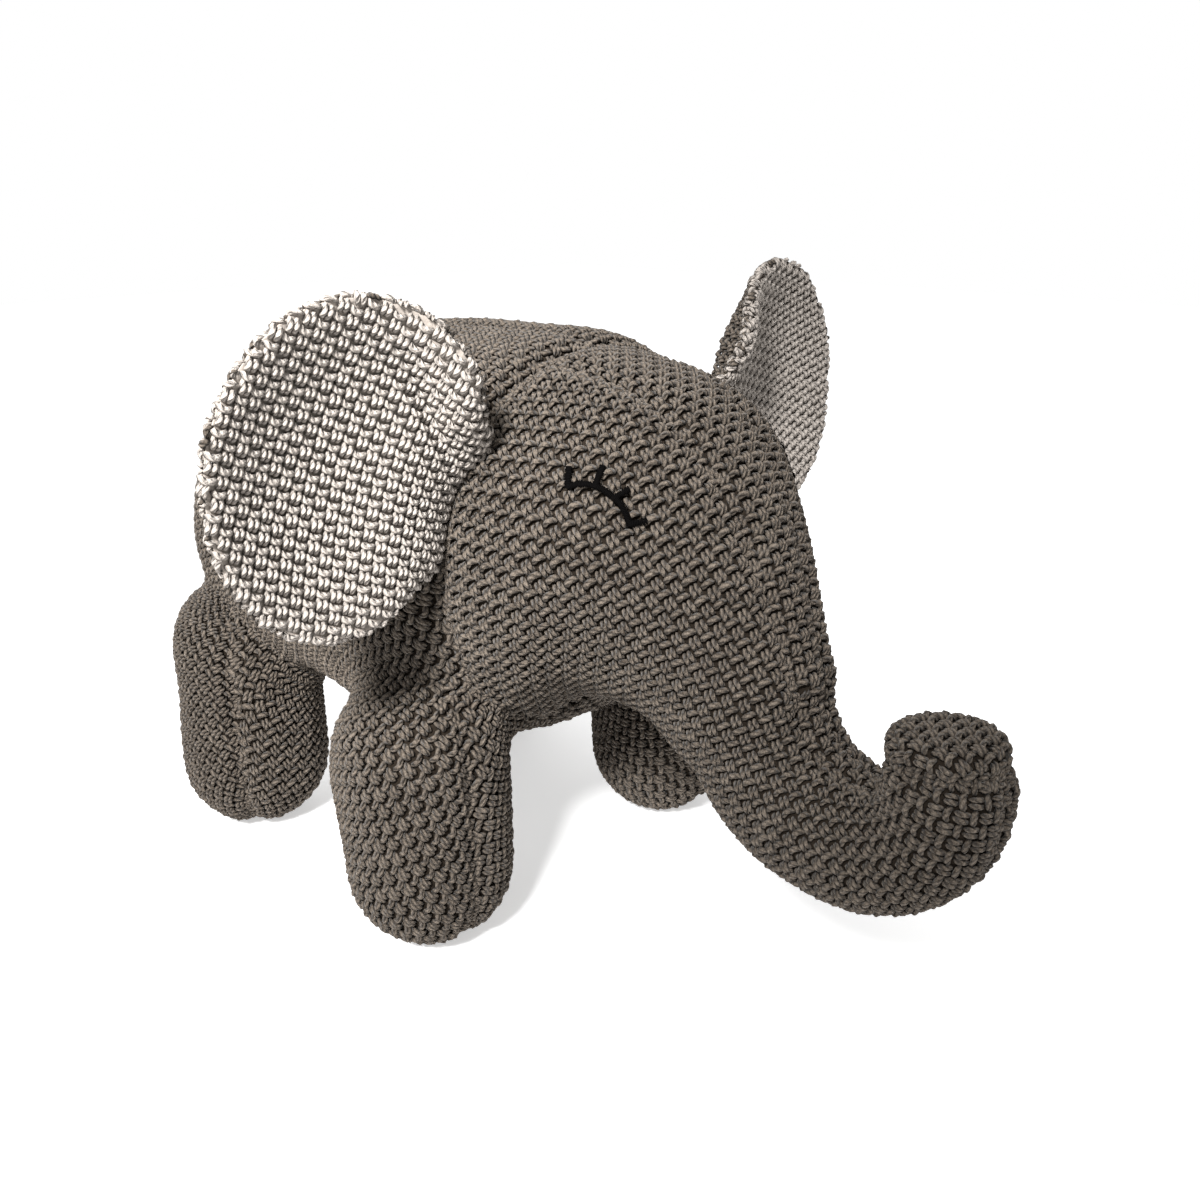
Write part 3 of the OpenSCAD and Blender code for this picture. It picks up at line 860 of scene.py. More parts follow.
class Shader:
    """A material's node tree with a Principled surface."""

    def __init__(self, name, roughness, **constants):
        self.material = bpy.data.materials.new(name)
        self.material.use_nodes = True
        self.nodes = self.material.node_tree.nodes
        self.links = self.material.node_tree.links
        self.surface = next(n for n in self.nodes if n.type == "BSDF_PRINCIPLED")
        self.surface.inputs["Roughness"].default_value = roughness
        for socket, value in constants.items():
            self.surface.inputs[socket.replace("_", " ")].default_value = value

    def add(self, kind, inputs=(), **facts):
        node = self.nodes.new(kind)
        for fact, value in facts.items():
            setattr(node, fact, value)
        for key, value in dict(inputs).items():
            if isinstance(value, bpy.types.NodeSocket):
                self.links.new(value, node.inputs[key])
            else:
                node.inputs[key].default_value = value
        return node

    def math(self, operation, a, b=0.0):
        return self.add("ShaderNodeMath", {0: a, 1: b}, operation=operation).outputs[0]

    def noise(self, vector, scale, detail=2.0):
        inputs = {"Vector": vector, "Scale": scale, "Detail": detail}
        return self.add("ShaderNodeTexNoise", inputs).outputs[0]

    def mix(self, share, dark, light):
        node = self.add("ShaderNodeMix", data_type="RGBA")
        for index, value in ((0, share), (6, dark), (7, light)):
            if isinstance(value, bpy.types.NodeSocket):
                self.links.new(value, node.inputs[index])
            else:
                node.inputs[index].default_value = value
        return node.outputs[2]

    def colour(self, socket):
        self.links.new(socket, self.surface.inputs["Base Color"])

    def bump(self, height, distance, strength=1.0):
        node = self.add("ShaderNodeBump", {"Height": height, "Distance": distance, "Strength": strength})
        self.links.new(node.outputs[0], self.surface.inputs["Normal"])


def rgba(colour, share=1.0):
    """A shader colour from a setting."""
    return (*(c * share for c in colour), 1.0)


# Length of yarn in which its plies pass once round each other
PLY_LENGTH = 0.0025


def yarn_material(name, dark, light, depth_shade):
    """Two-ply yarn: twisted plies, mixed light and dark fibres and a soft fuzz. Its colour also carries
    painted shade: darker down each strand's lower part, by proud and depth_shade, and darker in the grooves
    between plies.
    """
    if name in made:
        return made[name]
    shader = Shader(name, 0.88, Sheen_Weight=0.08, Sheen_Roughness=0.5, Specular_IOR_Level=0.15)
    place = shader.add("ShaderNodeTexCoord").outputs["Object"]
    ply_map = shader.add("ShaderNodeUVMap", uv_map="ply")
    parts = shader.add("ShaderNodeSeparateXYZ", {0: ply_map.outputs[0]})
    along = shader.math("MULTIPLY", parts.outputs[0], 1 / PLY_LENGTH)
    phase = shader.math("ADD", along, shader.math("MULTIPLY", parts.outputs[1], 3.0))
    plies = shader.math("ABSOLUTE", shader.math("SINE", shader.math("MULTIPLY", phase, math.pi)))
    fibre_phase = shader.math("ADD", shader.math("MULTIPLY", along, 0.6),
                              shader.math("MULTIPLY", parts.outputs[1], 9.0))
    fibres = shader.math("SINE", shader.math("MULTIPLY", fibre_phase, math.pi))
    flecks = shader.noise(place, 1500.0, 3.0)
    clouds = shader.noise(place, 120.0, 2.0)
    tone = shader.add("ShaderNodeAttribute", attribute_name="tone").outputs["Fac"]
    proud = shader.add("ShaderNodeAttribute", attribute_name="proud").outputs["Fac"]
    share = 0.5
    # painted shade: the plies term darkens the colour in the grooves between plies, on the same wave as the
    # bump
    for source, middle, weight in ((flecks, 0.5, 2.4), (plies, 0.64, 0.6), (fibres, 0.0, 0.08),
                                   (tone, 0.5, 0.24), (clouds, 0.5, 0.5)):
        share = shader.math("ADD", share, shader.math(
            "MULTIPLY", shader.math("SUBTRACT", source, middle), weight))
    clamped = shader.add("ShaderNodeClamp", {0: share}).outputs[0]
    fibre_colour = shader.mix(clamped, dark, light)
    # painted shade: each strand's colour is darkened towards its lower part (low proud), down in the holes
    # between stitches, to depth_shade of its value
    shade = shader.add(
        "ShaderNodeMapRange", {0: proud, 1: 0.1, 2: 0.85, 3: depth_shade, 4: 1.0}).outputs[0]
    shaded = shader.add("ShaderNodeVectorMath", {0: fibre_colour}, operation="SCALE")
    shader.links.new(shade, shaded.inputs["Scale"])
    shader.colour(shaded.outputs[0])
    height = shader.math("ADD", plies, shader.math("MULTIPLY", fibres, 0.22))
    height = shader.math("ADD", height, shader.math("MULTIPLY", flecks, 0.8))
    shader.bump(height, 0.0009, 1.0)
    made[name] = shader.material
    return shader.material


def backing_and_hole_shade_material(name, colour, low=0.25, high=0.75):
    """The inside of the knit that shows in the holes between stitches, its colour scaled from low to high.
    With the defaults, a quarter to three quarters of the dark taupe, this is painted shade in the holes.
    """
    if name in made:
        return made[name]
    shader = Shader(name, 0.95, Specular_IOR_Level=0.1)
    place = shader.add("ShaderNodeTexCoord").outputs["Object"]
    tufts = shader.noise(place, 420.0, 3.0)
    # painted shade: the colour is scaled below the yarn's by low and high, so the holes between stitches look
    # shaded
    shader.colour(shader.mix(tufts, rgba(colour, low), rgba(colour, high)))
    shader.bump(tufts, 0.0006)
    made[name] = shader.material
    return shader.material


def taupe_yarn():
    colours = settings("colours")
    # the lower parts of taupe strands get painted shade, down to a quarter of their colour
    return yarn_material("taupe_yarn", rgba(colours.taupe_dark), rgba(colours.taupe_light), 0.25)


def cream_yarn():
    colours = settings("colours")
    # the lower parts of cream strands get painted shade, down to 0.8 of their colour
    return yarn_material("cream_yarn", rgba(colours.cream_dark), rgba(colours.cream_light), 0.8)


def thread_material():
    """Matt black embroidery thread."""
    if "eye_thread" in made:
        return made["eye_thread"]
    colours = settings("colours")
    shader = Shader("eye_thread", 0.7, Specular_IOR_Level=0.03)
    place = shader.add("ShaderNodeTexCoord").outputs["Object"]
    fibres = shader.noise(place, 2600.0, 2.0)
    shader.colour(shader.mix(fibres, rgba(colours.thread, 0.5), rgba(colours.thread, 2.2)))
    shader.bump(fibres, 0.0001)
    made["eye_thread"] = shader.material
    return shader.material


# ---------- where each piece rides ----------


def follow(piece, body):
    """Makes piece follow a body: a trunk, leg or ear piece only has its placement baked into its mesh, and
    any other piece is parented to the body.
    """
    if body == "trunk":
        bend_trunk(piece)
    elif body.startswith("leg_"):
        bend_leg(piece)
    elif body.startswith("ear_"):
        bend_ear(piece, body)
    else:
        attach(piece, body)


def bend_trunk(piece):
    """Bakes a trunk piece's placement into its mesh; it is not bent."""
    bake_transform(piece)


def bend_leg(piece):
    """Bakes a leg piece's placement into its mesh; it is not bent."""
    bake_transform(piece)


def ear_axes(side):
    """An ear's sewn edge, its outward, upward and backward directions."""
    joint = JOINTS[f"ear_{side}_fold"]
    root = np.array(joint["pos_m"], float)
    up = np.array(joint["axis"], float)
    up = up if up[2] > 0 else -up
    level = np.cross((0, 1, 0), up) * SIDE_SIGN[side]
    level /= np.linalg.norm(level)
    turn = settings("ears").turn
    out = level * math.cos(turn) + np.array((0, 1, 0)) * math.sin(turn)
    back = np.array((0, 1, 0)) * math.cos(turn) - level * math.sin(turn)
    return root, out, up, back


def bend_ear(piece, body):
    """Bakes an ear piece's placement into its mesh; it is not bent."""
    root, out, _, _ = ear_axes(body.split("_")[1])
    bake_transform(piece)


# ---------- covers ----------

PADS = {"body": [n for n in COVERS if n.startswith(("torso", "belly", "head", "forehead", "chin"))],
        "trunk": [n for n in COVERS if n.startswith("trunk")]}
for _leg in LEGS:
    PADS[f"leg_{_leg}"] = [f"leg_outer_{_leg}", f"leg_inner_{_leg}"]
PAD_FILLINGS = {"body": ["torso_filling", "head_filling"], "trunk": ["trunk_filling"]}
for _leg in LEGS:
    PAD_FILLINGS[f"leg_{_leg}"] = [f"leg_filling_{_leg}"]

BACKING_DROP = 0.0006
FLOOR_CLEARANCE = 0.0002


def make_padding():
    """One closed padded skin for each body, under the stitches."""
    points, _, tris, owners = stuffed_form()
    inner = points - normals_of(points, tris) * BACKING_DROP
    # the padding's taupe is darkened well below the yarn, as painted shade in the holes between stitches
    backing = backing_and_hole_shade_material("taupe_backing_shade", settings("colours").taupe_dark)
    for body, nodes in PADS.items():
        chosen = np.isin(owners, [COVERS.index(node) for node in nodes])
        piece_points, piece_tris = used_only(inner, tris[chosen])
        piece_points, piece_tris = capped(piece_points, piece_tris)
        pad = piece_of(f"{body}_padding", mesh_of(f"{body}_padding", piece_points, piece_tris))
        pad.data.materials.append(backing)
        follow(pad, body)
        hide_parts(*PAD_FILLINGS[body])


PIECES = {}
for _side in SIDES:
    PIECES[f"flank_knit_{_side}"] = (f"flank_{_side}", [f"torso_cover_{_side}"], "body")
    PIECES[f"face_knit_{_side}"] = (f"face_{_side}", CLOTHS[f"face_{_side}"], "trunk")
for _leg in LEGS:
    _flank = "flank_" + _leg.split("_")[1]
    PIECES[f"leg_outer_knit_{_leg}"] = (_flank, [f"leg_outer_{_leg}"], f"leg_{_leg}")
    PIECES[f"leg_inner_knit_{_leg}"] = ("belly", [f"leg_inner_{_leg}"], f"leg_{_leg}")
PIECES["belly_knit"] = ("belly", ["belly_panel"], "body")
PIECES["brow_knit"] = ("brow", CLOTHS["brow"], "trunk")
PIECES["chin_knit"] = ("chin", CLOTHS["chin"], "body")
PIECES["trunk_tip_knit"] = ("trunk_tip", CLOTHS["trunk_tip"], "trunk")


def knit_covers():
    """Knits every cover of the torso, head, trunk and legs."""
    points, _, tris, owners = stuffed_form()
    yarn = taupe_yarn()
    for cloth, nodes in CLOTHS.items():
        direction, width, height = STRANDS[cloth]
        width, height = width / 1000, height / 1000
        chosen = np.isin(owners, [COVERS.index(node) for node in nodes])
        cloth_owner = owners[chosen]
        cloth_points, cloth_tris = used_only(points, tris[chosen])
        cloth_points, cloth_tris, cloth_owner = widened(
            cloth_points, cloth_tris, cloth_owner, settings("form").seam_allowance)
        flat = flattened(cloth_points, cloth_tris)
        flat = turned_to(cloth_points, cloth_tris, flat, direction)
        across, along, *_ = stretch_vectors(cloth_points, cloth_tris, flat)
        for name, (of_cloth, piece_nodes, body) in PIECES.items():
            if of_cloth != cloth:
                continue
            mine = np.isin(cloth_owner, [COVERS.index(node) for node in piece_nodes])
            part_points, part_tris, part_flat, part_across, part_along = used_only(
                cloth_points, cloth_tris[mine], flat, across, along)
            piece = knitted(name, part_points, part_tris, part_flat[part_tris],
                            (part_across, part_along), width, height, yarn)
            lift_off_floor(piece)
            follow(piece, body)
            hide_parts(*piece_nodes)


def lift_off_floor(piece):
    """Flattens what would reach below the floor."""
    co = np.zeros(len(piece.data.vertices) * 3, np.float32)
    piece.data.vertices.foreach_get("co", co)
    co = co.reshape(-1, 3)
    np.maximum(co[:, 2], FLOOR_CLEARANCE, out=co[:, 2])
    piece.data.vertices.foreach_set("co", co.ravel())
    piece.data.update()


# ---------- ears ----------

# Reach of an ear's rim, as a share of its oval, at angles from straight out to straight up and round
EAR_OUTLINE = ((-180, 0.96), (-132, 0.93), (-96, 0.955), (-60, 0.965), (-24, 0.955), (0, 0.99),
               (24, 0.99), (48, 1.015), (84, 1.01), (108, 1.05), (132, 1.09), (152, 1.0), (180, 0.96))
# Where the upper inner corner is drawn in: its angle and width in degrees, and by how much
EAR_CORNER = (130, 22, 0.10)
EAR_RINGS = 26
EAR_COLUMNS = 90


def ear_depth(ear, x, y):
    """How far back the middle surface of an ear lies: cupped, with its sewn edge drawn back."""
    oval = np.hypot((x - ear["centre"][0]) / ear["half_w"], (y - ear["centre"][1]) / ear["half_h"])
    drawn = np.clip(1 - x / ear["root_reach"], 0, 1.3) ** 2
    free = np.clip((y - ear["centre"][1]) / ear["half_h"] * 2.0 - 0.1, 0, 1)
    drawn = drawn * (1 - 0.5 * free**2 * (3 - 2 * free))
    return ear["cup"] * (1 - np.clip(oval, 0, 1.1) ** 2) + ear["drawn_back"] * drawn


def ear_sheet(side):
    """The outline and middle surface of an ear, seated on the head, as a polar grid."""
    ears = settings("ears")
    root, out, up, back = ear_axes(side)
    axes = np.stack([out, up, back])
    cad_points, _ = node_triangles([f"ear_front_{side}", f"ear_back_{side}"])
    local = (cad_points - root) @ axes.T
    low, high = local.min(0), local.max(0)
    wadding, _ = node_triangles([f"ear_wadding_{side}"])
    ear = {"root": root, "axes": axes, "centre": (low + high) / 2,
           "half_w": (high[0] - low[0]) / 2, "half_h": (high[1] - low[1]) / 2,
           "cup": ((wadding - root) @ axes[2]).max() + 0.001, "half_t": ears.half_t,
           "fold": ears.fold, "root_reach": ears.root_reach, "drawn_back": ears.drawn_back}
    head = form_tree()
    angles = 2 * np.pi * np.arange(EAR_COLUMNS) / EAR_COLUMNS
    steps = np.linspace(0.4, 1.35, 60)
    reach = []
    for angle in angles:
        oval = 1 / math.hypot(math.cos(angle) / ear["half_w"], math.sin(angle) / ear["half_h"])
        if math.cos(angle) > -0.2:
            reach.append(oval)
            continue
        x = ear["centre"][0] + steps * oval * math.cos(angle)
        y = ear["centre"][1] + steps * oval * math.sin(angle)
        places = root + np.stack([x, y, ear_depth(ear, x, y)], axis=1) @ axes
        most = 1.0 + 0.30 * min(1.0, max(0.0, (-math.cos(angle) - 0.80) / 0.18))
        for step, place in zip(steps, places):
            spot, normal, _, _ = head.find_nearest(Vector(place))
            if step > most or (Vector(place) - spot).dot(normal) < -0.002:
                break
        reach.append(oval * min(step, most))
    degrees = (np.degrees(angles) + 180) % 360 - 180
    reach = np.array(reach) * np.interp(degrees, *zip(*EAR_OUTLINE))
    corner, corner_w, drawn_in = EAR_CORNER
    reach *= 1 - drawn_in * np.exp(-(((degrees - corner) / corner_w) ** 2))
    for _ in range(3):
        reach = (np.roll(reach, 1) + 2 * reach + np.roll(reach, -1)) / 4
    shares = np.sin(np.linspace(0, math.pi / 2, EAR_RINGS + 1))[1:]
    grid = shares[:, None] * reach[None, :]
    ear["x"] = ear["centre"][0] + grid * np.cos(angles)
    ear["y"] = ear["centre"][1] + grid * np.sin(angles)
    ear["angles"], ear["reach"] = angles, reach
    ear["share"] = shares[:, None] * np.ones(EAR_COLUMNS)
    return ear


def ear_fold(ear, share):
    """How far the upper inner rim rolls forward: a ridge that starts past a crease."""
    near = np.exp(-(((np.degrees(ear["angles"]) - 128) / 24) ** 2))[None, :]
    past = np.clip((share - 0.70) / 0.22, 0, 1)
    crease = np.exp(-(((share - 0.72) / 0.07) ** 2)) * 0.35
    return ear["fold"] * near * (past**2 * (3 - 2 * past) - crease)


def ear_layer(ear, way, lift):
    """One face of an ear: way is -1 for the front, which wraps over the rim, and 1 for the back."""
    n = EAR_COLUMNS
    full = ear["half_t"] + lift
    thick = full * np.sqrt(np.clip(1 - ear["share"] ** 6, 0, 1))
    depth = ear_depth(ear, ear["x"], ear["y"])
    x, y, z = ear["x"], ear["y"], depth - ear_fold(ear, ear["share"]) + way * thick
    if way < 0:
        for drop, shrink in ((0.5, 0.0004), (0.95, 0.0022)):
            cos, sin = np.cos(ear["angles"]), np.sin(ear["angles"])
            x = np.vstack([x, (ear["x"][-1] - shrink * cos)[None]])
            y = np.vstack([y, (ear["y"][-1] - shrink * sin)[None]])
            z = np.vstack([z, (z[EAR_RINGS - 1] + drop * full)[None]])
    local = np.stack([x, y, z], axis=-1).reshape(-1, 3)
    hub_z = ear_depth(ear, *ear["centre"][:2]) + way * full
    local = np.vstack([[ear["centre"][0], ear["centre"][1], hub_z], local])
    tris = [(0, 1 + k, 1 + (k + 1) % n) for k in range(n)]
    for ring in range(len(x) - 1):
        for k in range(n):
            a, b = 1 + ring * n + k, 1 + ring * n + (k + 1) % n
            tris += [(a, a + n, b + n), (a, b + n, b)]
    tris = np.array(tris)
    if (way > 0) != (np.linalg.det(ear["axes"]) > 0):
        tris = tris[:, ::-1]
    return ear["root"] + local @ ear["axes"], tris


def ear_pad(ear, way):
    """The padding behind one face of an ear, closed by a sheet that follows the ear's middle."""
    n = EAR_COLUMNS
    outer, outer_tris = ear_layer(ear, way, -2 * BACKING_DROP)
    z = ear_depth(ear, ear["x"], ear["y"]) - ear_fold(ear, ear["share"])
    local = np.stack([ear["x"], ear["y"], z], axis=-1).reshape(-1, 3)
    hub = [*ear["centre"][:2], ear_depth(ear, *ear["centre"][:2])]
    inner = ear["root"] + np.vstack([hub, local]) @ ear["axes"]
    first = len(outer)
    inner_tris = outer_tris[(outer_tris < len(inner)).all(1)][:, ::-1] + first
    k = np.arange(n)
    a, b = first - n + k, first - n + (k + 1) % n
    c, d = a + len(inner), b + len(inner)
    wall = np.vstack([np.stack([a, c, d], 1), np.stack([a, d, b], 1)])
    if (way > 0) != (np.linalg.det(ear["axes"]) > 0):
        wall = wall[:, ::-1]
    return np.vstack([outer, inner]), np.vstack([outer_tris, inner_tris, wall])


def make_ear(side):
    """The cream front, the taupe back and the padding of one ear."""
    knit = settings("knit")
    colours = settings("colours")
    ear = ear_sheet(side)
    body = f"ear_{side}"
    upward = ear["axes"][1]
    for face, way, yarn, slot_name in (("front", -1, cream_yarn(), "cream_knit"),
                                       ("back", 1, taupe_yarn(), "taupe_knit")):
        points, tris = ear_layer(ear, way, 0.0)
        flat = turned_to(points, tris, flattened(points, tris), upward)
        across, along, *_ = stretch_vectors(points, tris, flat)
        piece = knitted(f"ear_{face}_knit_{side}", points, tris, flat[tris], (across, along),
                        knit.ear_stitch_w, knit.ear_stitch_h, yarn)
        follow(piece, body)
        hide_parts(f"ear_{face}_{side}")
        # the cream backing stays near the cream's dark fibres; the taupe backing is darkened as painted shade
        # in the holes
        if face == "front":
            backing = backing_and_hole_shade_material("cream_backing", colours.cream_dark, 0.75, 1.15)
        else:
            backing = backing_and_hole_shade_material("taupe_backing_shade", colours.taupe_dark)
        pad_points, pad_tris = ear_pad(ear, way)
        pad = piece_of(f"ear_{face}_padding_{side}",
                       mesh_of(f"ear_{face}_padding_{side}", pad_points, pad_tris))
        pad.data.materials.append(backing)
        follow(pad, body)
        if face == "front":
            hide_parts(f"ear_wadding_{side}")


# ---------- eyes, cord and tail ----------

# The lid line and its lashes, as shares of the CAD eye's box: from front to back and from bottom to top
EYE_LID = ((0.88, 0.62), (0.80, 0.665), (0.72, 0.68), (0.61, 0.66), (0.50, 0.59), (0.39, 0.49),
           (0.30, 0.37), (0.23, 0.22), (0.17, 0.06))
EYE_LASHES = (((0.88, 0.60), (0.96, 0.90)), ((0.61, 0.64), (0.62, 0.94)),
              ((0.39, 0.47), (0.29, 0.61)), ((0.17, 0.08), (0.04, 0.12)))
SATIN_STEP = 0.00055
SATIN_WIDTH = 0.0031
SATIN_THREAD_R = 0.00042
SATIN_LIFT = 0.0021
SATIN_SPREAD = 0.16
SATIN_SEED = 3


def satin_tree():
    """Lays short satin threads across a line, one at each of its points."""
    if "satin_tree" in made:
        return made["satin_tree"]
    tree = Tree("satin_stitch")
    for name, kind in (("Thread", "Object"), ("Turn spread", "Float"), ("Seed", "Int"),
                       ("Thread material", "Material")):
        tree.socket(name, "NodeSocket" + kind)

    seed = tree.given("Seed")
    turn = tree.turned("line", tree.given("Turn spread"), seed)
    longer = tree.random(0.88, 1.1, tree.math("ADD", seed, 1))
    scale = tree.add("ShaderNodeCombineXYZ", {0: longer, 1: 1.0, 2: 1.0})
    shape = tree.add("GeometryNodeObjectInfo", {"Object": tree.given("Thread"), "As Instance": True})
    laid = tree.add("GeometryNodeInstanceOnPoints", {
        "Points": tree.given("Geometry"), "Instance": shape.outputs["Geometry"],
        "Rotation": turn, "Scale": scale.outputs[0]})
    real = tree.add("GeometryNodeRealizeInstances", {"Geometry": laid.outputs[0]})
    colour = tree.add("GeometryNodeSetMaterial", {
        "Geometry": real.outputs[0], "Material": tree.given("Thread material")})
    tree.link(colour.outputs[0], tree.exit.inputs[0])
    made["satin_tree"] = tree.group
    return tree.group


def on_knit(tree, place, way, lift):
    """Where a ray from place along way meets the form, lifted off it, and the normal there."""
    hit = tree.ray_cast(Vector(place), Vector(way), 0.2)
    if hit[0] is None:
        raise RuntimeError("an eye point misses the head")
    return np.array(hit[0] + hit[1] * lift), np.array(hit[1])


def evenly(points, step):
    """Points about a step apart along the straight runs between points."""
    points = np.array(points, float)
    lengths = np.concatenate([[0], np.cumsum(np.linalg.norm(np.diff(points, axis=0), axis=1))])
    count = max(2, int(lengths[-1] / step))
    at = np.linspace(0, lengths[-1], count)
    return np.stack([np.interp(at, lengths, points[:, k]) for k in range(3)], axis=1)


def make_eyes():
    """Closed eyes in satin stitch: a lid line and four lashes each."""
    head = form_tree()
    path = [(x * SATIN_WIDTH / 2, 0, 0.00055 * math.cos(x * 1.3)) for x in np.linspace(-1, 1, 6)]
    thread = stitch_piece("satin_thread", [strand(path, SATIN_THREAD_R, 5)])
    for side in SIDES:
        low, high = (np.array(corner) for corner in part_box(f"eye_embroidery_{side}"))
        outside = (high[0] if side == "left" else low[0]) + SIDE_SIGN[side] * 0.03
        places, lines, ups = [], [], []
        for run in (EYE_LID, *EYE_LASHES):
            found = []
            for share_y, share_z in run:
                start = (outside, low[1] + share_y * (high[1] - low[1]),
                         low[2] + share_z * (high[2] - low[2]))
                found.append(on_knit(head, start, (-SIDE_SIGN[side], 0, 0), SATIN_LIFT))
            spots = evenly([spot for spot, _ in found], SATIN_STEP)
            places.append(spots)
            lines.append(np.gradient(spots, axis=0))
            ups.append(evenly_normals([spot for spot, _ in found], [up for _, up in found], len(spots)))
        places, lines, ups = np.vstack(places), np.vstack(lines), np.vstack(ups)
        mesh = bpy.data.meshes.new(f"eye_satin_{side}")
        mesh.from_pydata(places.tolist(), [], [])
        for label, values in (("line", lines), ("up", ups)):
            set_attribute(mesh, label, "FLOAT_VECTOR", values)
        piece = piece_of(f"eye_satin_{side}", mesh)
        grown(piece, satin_tree(), {
            "Thread": thread, "Turn spread": SATIN_SPREAD, "Seed": SATIN_SEED,
            "Thread material": thread_material()})
        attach(piece, "body")
        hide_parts(f"eye_embroidery_{side}")
    bpy.data.objects.remove(thread)


def evenly_normals(points, normals, count):
    """Normals for count even places along a line through points."""
    points, normals = np.array(points, float), np.array(normals, float)
    lengths = np.concatenate([[0], np.cumsum(np.linalg.norm(np.diff(points, axis=0), axis=1))])
    at = np.linspace(0, lengths[-1], count)
    return np.stack([np.interp(at, lengths, normals[:, k]) for k in range(3)], axis=1)


def twisted_cord(name, path, normals, radius, pitch, closed):
    """Two plies of yarn twisted round a path; normals point away from what it lies on."""
    path = np.array(path, float)
    ahead = np.roll(path, -1, axis=0) - np.roll(path, 1, axis=0) if closed else np.gradient(path, axis=0)
    ahead /= np.linalg.norm(ahead, axis=1)[:, None]
    side = np.cross(ahead, normals)
    side /= np.linalg.norm(side, axis=1)[:, None]
    up = np.cross(side, ahead)
    steps = np.linalg.norm(np.diff(np.vstack([path, path[:1]]), axis=0), axis=1)
    lengths = np.concatenate([[0], np.cumsum(steps)])
    turns = max(1, round(lengths[-1] / pitch))
    points, tris, ply = [], [], []
    sides = 6
    for strand_phase in (0.0, math.pi):
        first = len(points)
        for i in range(len(path)):
            angle = 2 * math.pi * turns * lengths[i] / lengths[-1] + strand_phase
            centre = path[i] + radius * 0.5 * (side[i] * math.cos(angle) + up[i] * math.sin(angle))
            for k in range(sides):
                a = 2 * math.pi * k / sides
                points.append(centre + radius * 0.62 * (side[i] * math.cos(a) + up[i] * math.sin(a)))
        rings = len(path) if closed else len(path) - 1
        for i in range(rings):
            for k in range(sides):
                j = (i + 1) % len(path)
                a, b = first + i * sides + k, first + i * sides + (k + 1) % sides
                c, d = first + j * sides + k, first + j * sides + (k + 1) % sides
                tris += [(a, c, d), (a, d, b)]
                u, v = lengths[i], lengths[i + 1]
                ply += [((u, k), (v, k), (v, k + 1)), ((u, k), (v, k + 1), (u, k + 1))]
    ply = np.array(ply, float)
    ply[..., 1] /= sides
    # proud is fixed at 0.8, so the cord gets only a little of the painted strand shade
    return piece_of(name, yarn_mesh(name, np.array(points), np.array(tris), ply, proud=0.8, tone=0.5))


def make_neck_cord():
    """The drawn cord that lies in the groove of the neck seam."""
    cad_points, _ = node_triangles(["neck_seam_cord"])
    centre = (cad_points.min(0) + cad_points.max(0)) / 2
    form = form_tree()
    around = np.arctan2(cad_points[:, 2] - centre[2], cad_points[:, 0] - centre[0])
    path = []
    for angle in np.linspace(-math.pi, math.pi, 73)[:-1] + math.pi / 72:
        path.append(cad_points[np.abs(around - angle) < math.pi / 60].mean(0))
    path = evenly(path + path[:1], 0.0014)[:-1]
    found = [form.find_nearest(Vector(place)) for place in path]
    path = np.array([np.array(spot + up * 0.0006) for spot, up, _, _ in found])
    normals = path - centre
    normals /= np.linalg.norm(normals, axis=1)[:, None]
    for _ in range(6):
        path = (np.roll(path, 1, axis=0) + path * 2 + np.roll(path, -1, axis=0)) / 4
    cord = twisted_cord("neck_cord", path, normals, 0.0011, 0.0062, True)
    cord.data.materials.append(taupe_yarn())
    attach(cord, "body")
    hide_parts("neck_seam_cord")


GOLDEN_ANGLE = 2.39996
TUFT_ENDS = 70
TUFT_YARN_R = 0.00105
TAIL_STITCH_H = 0.0044


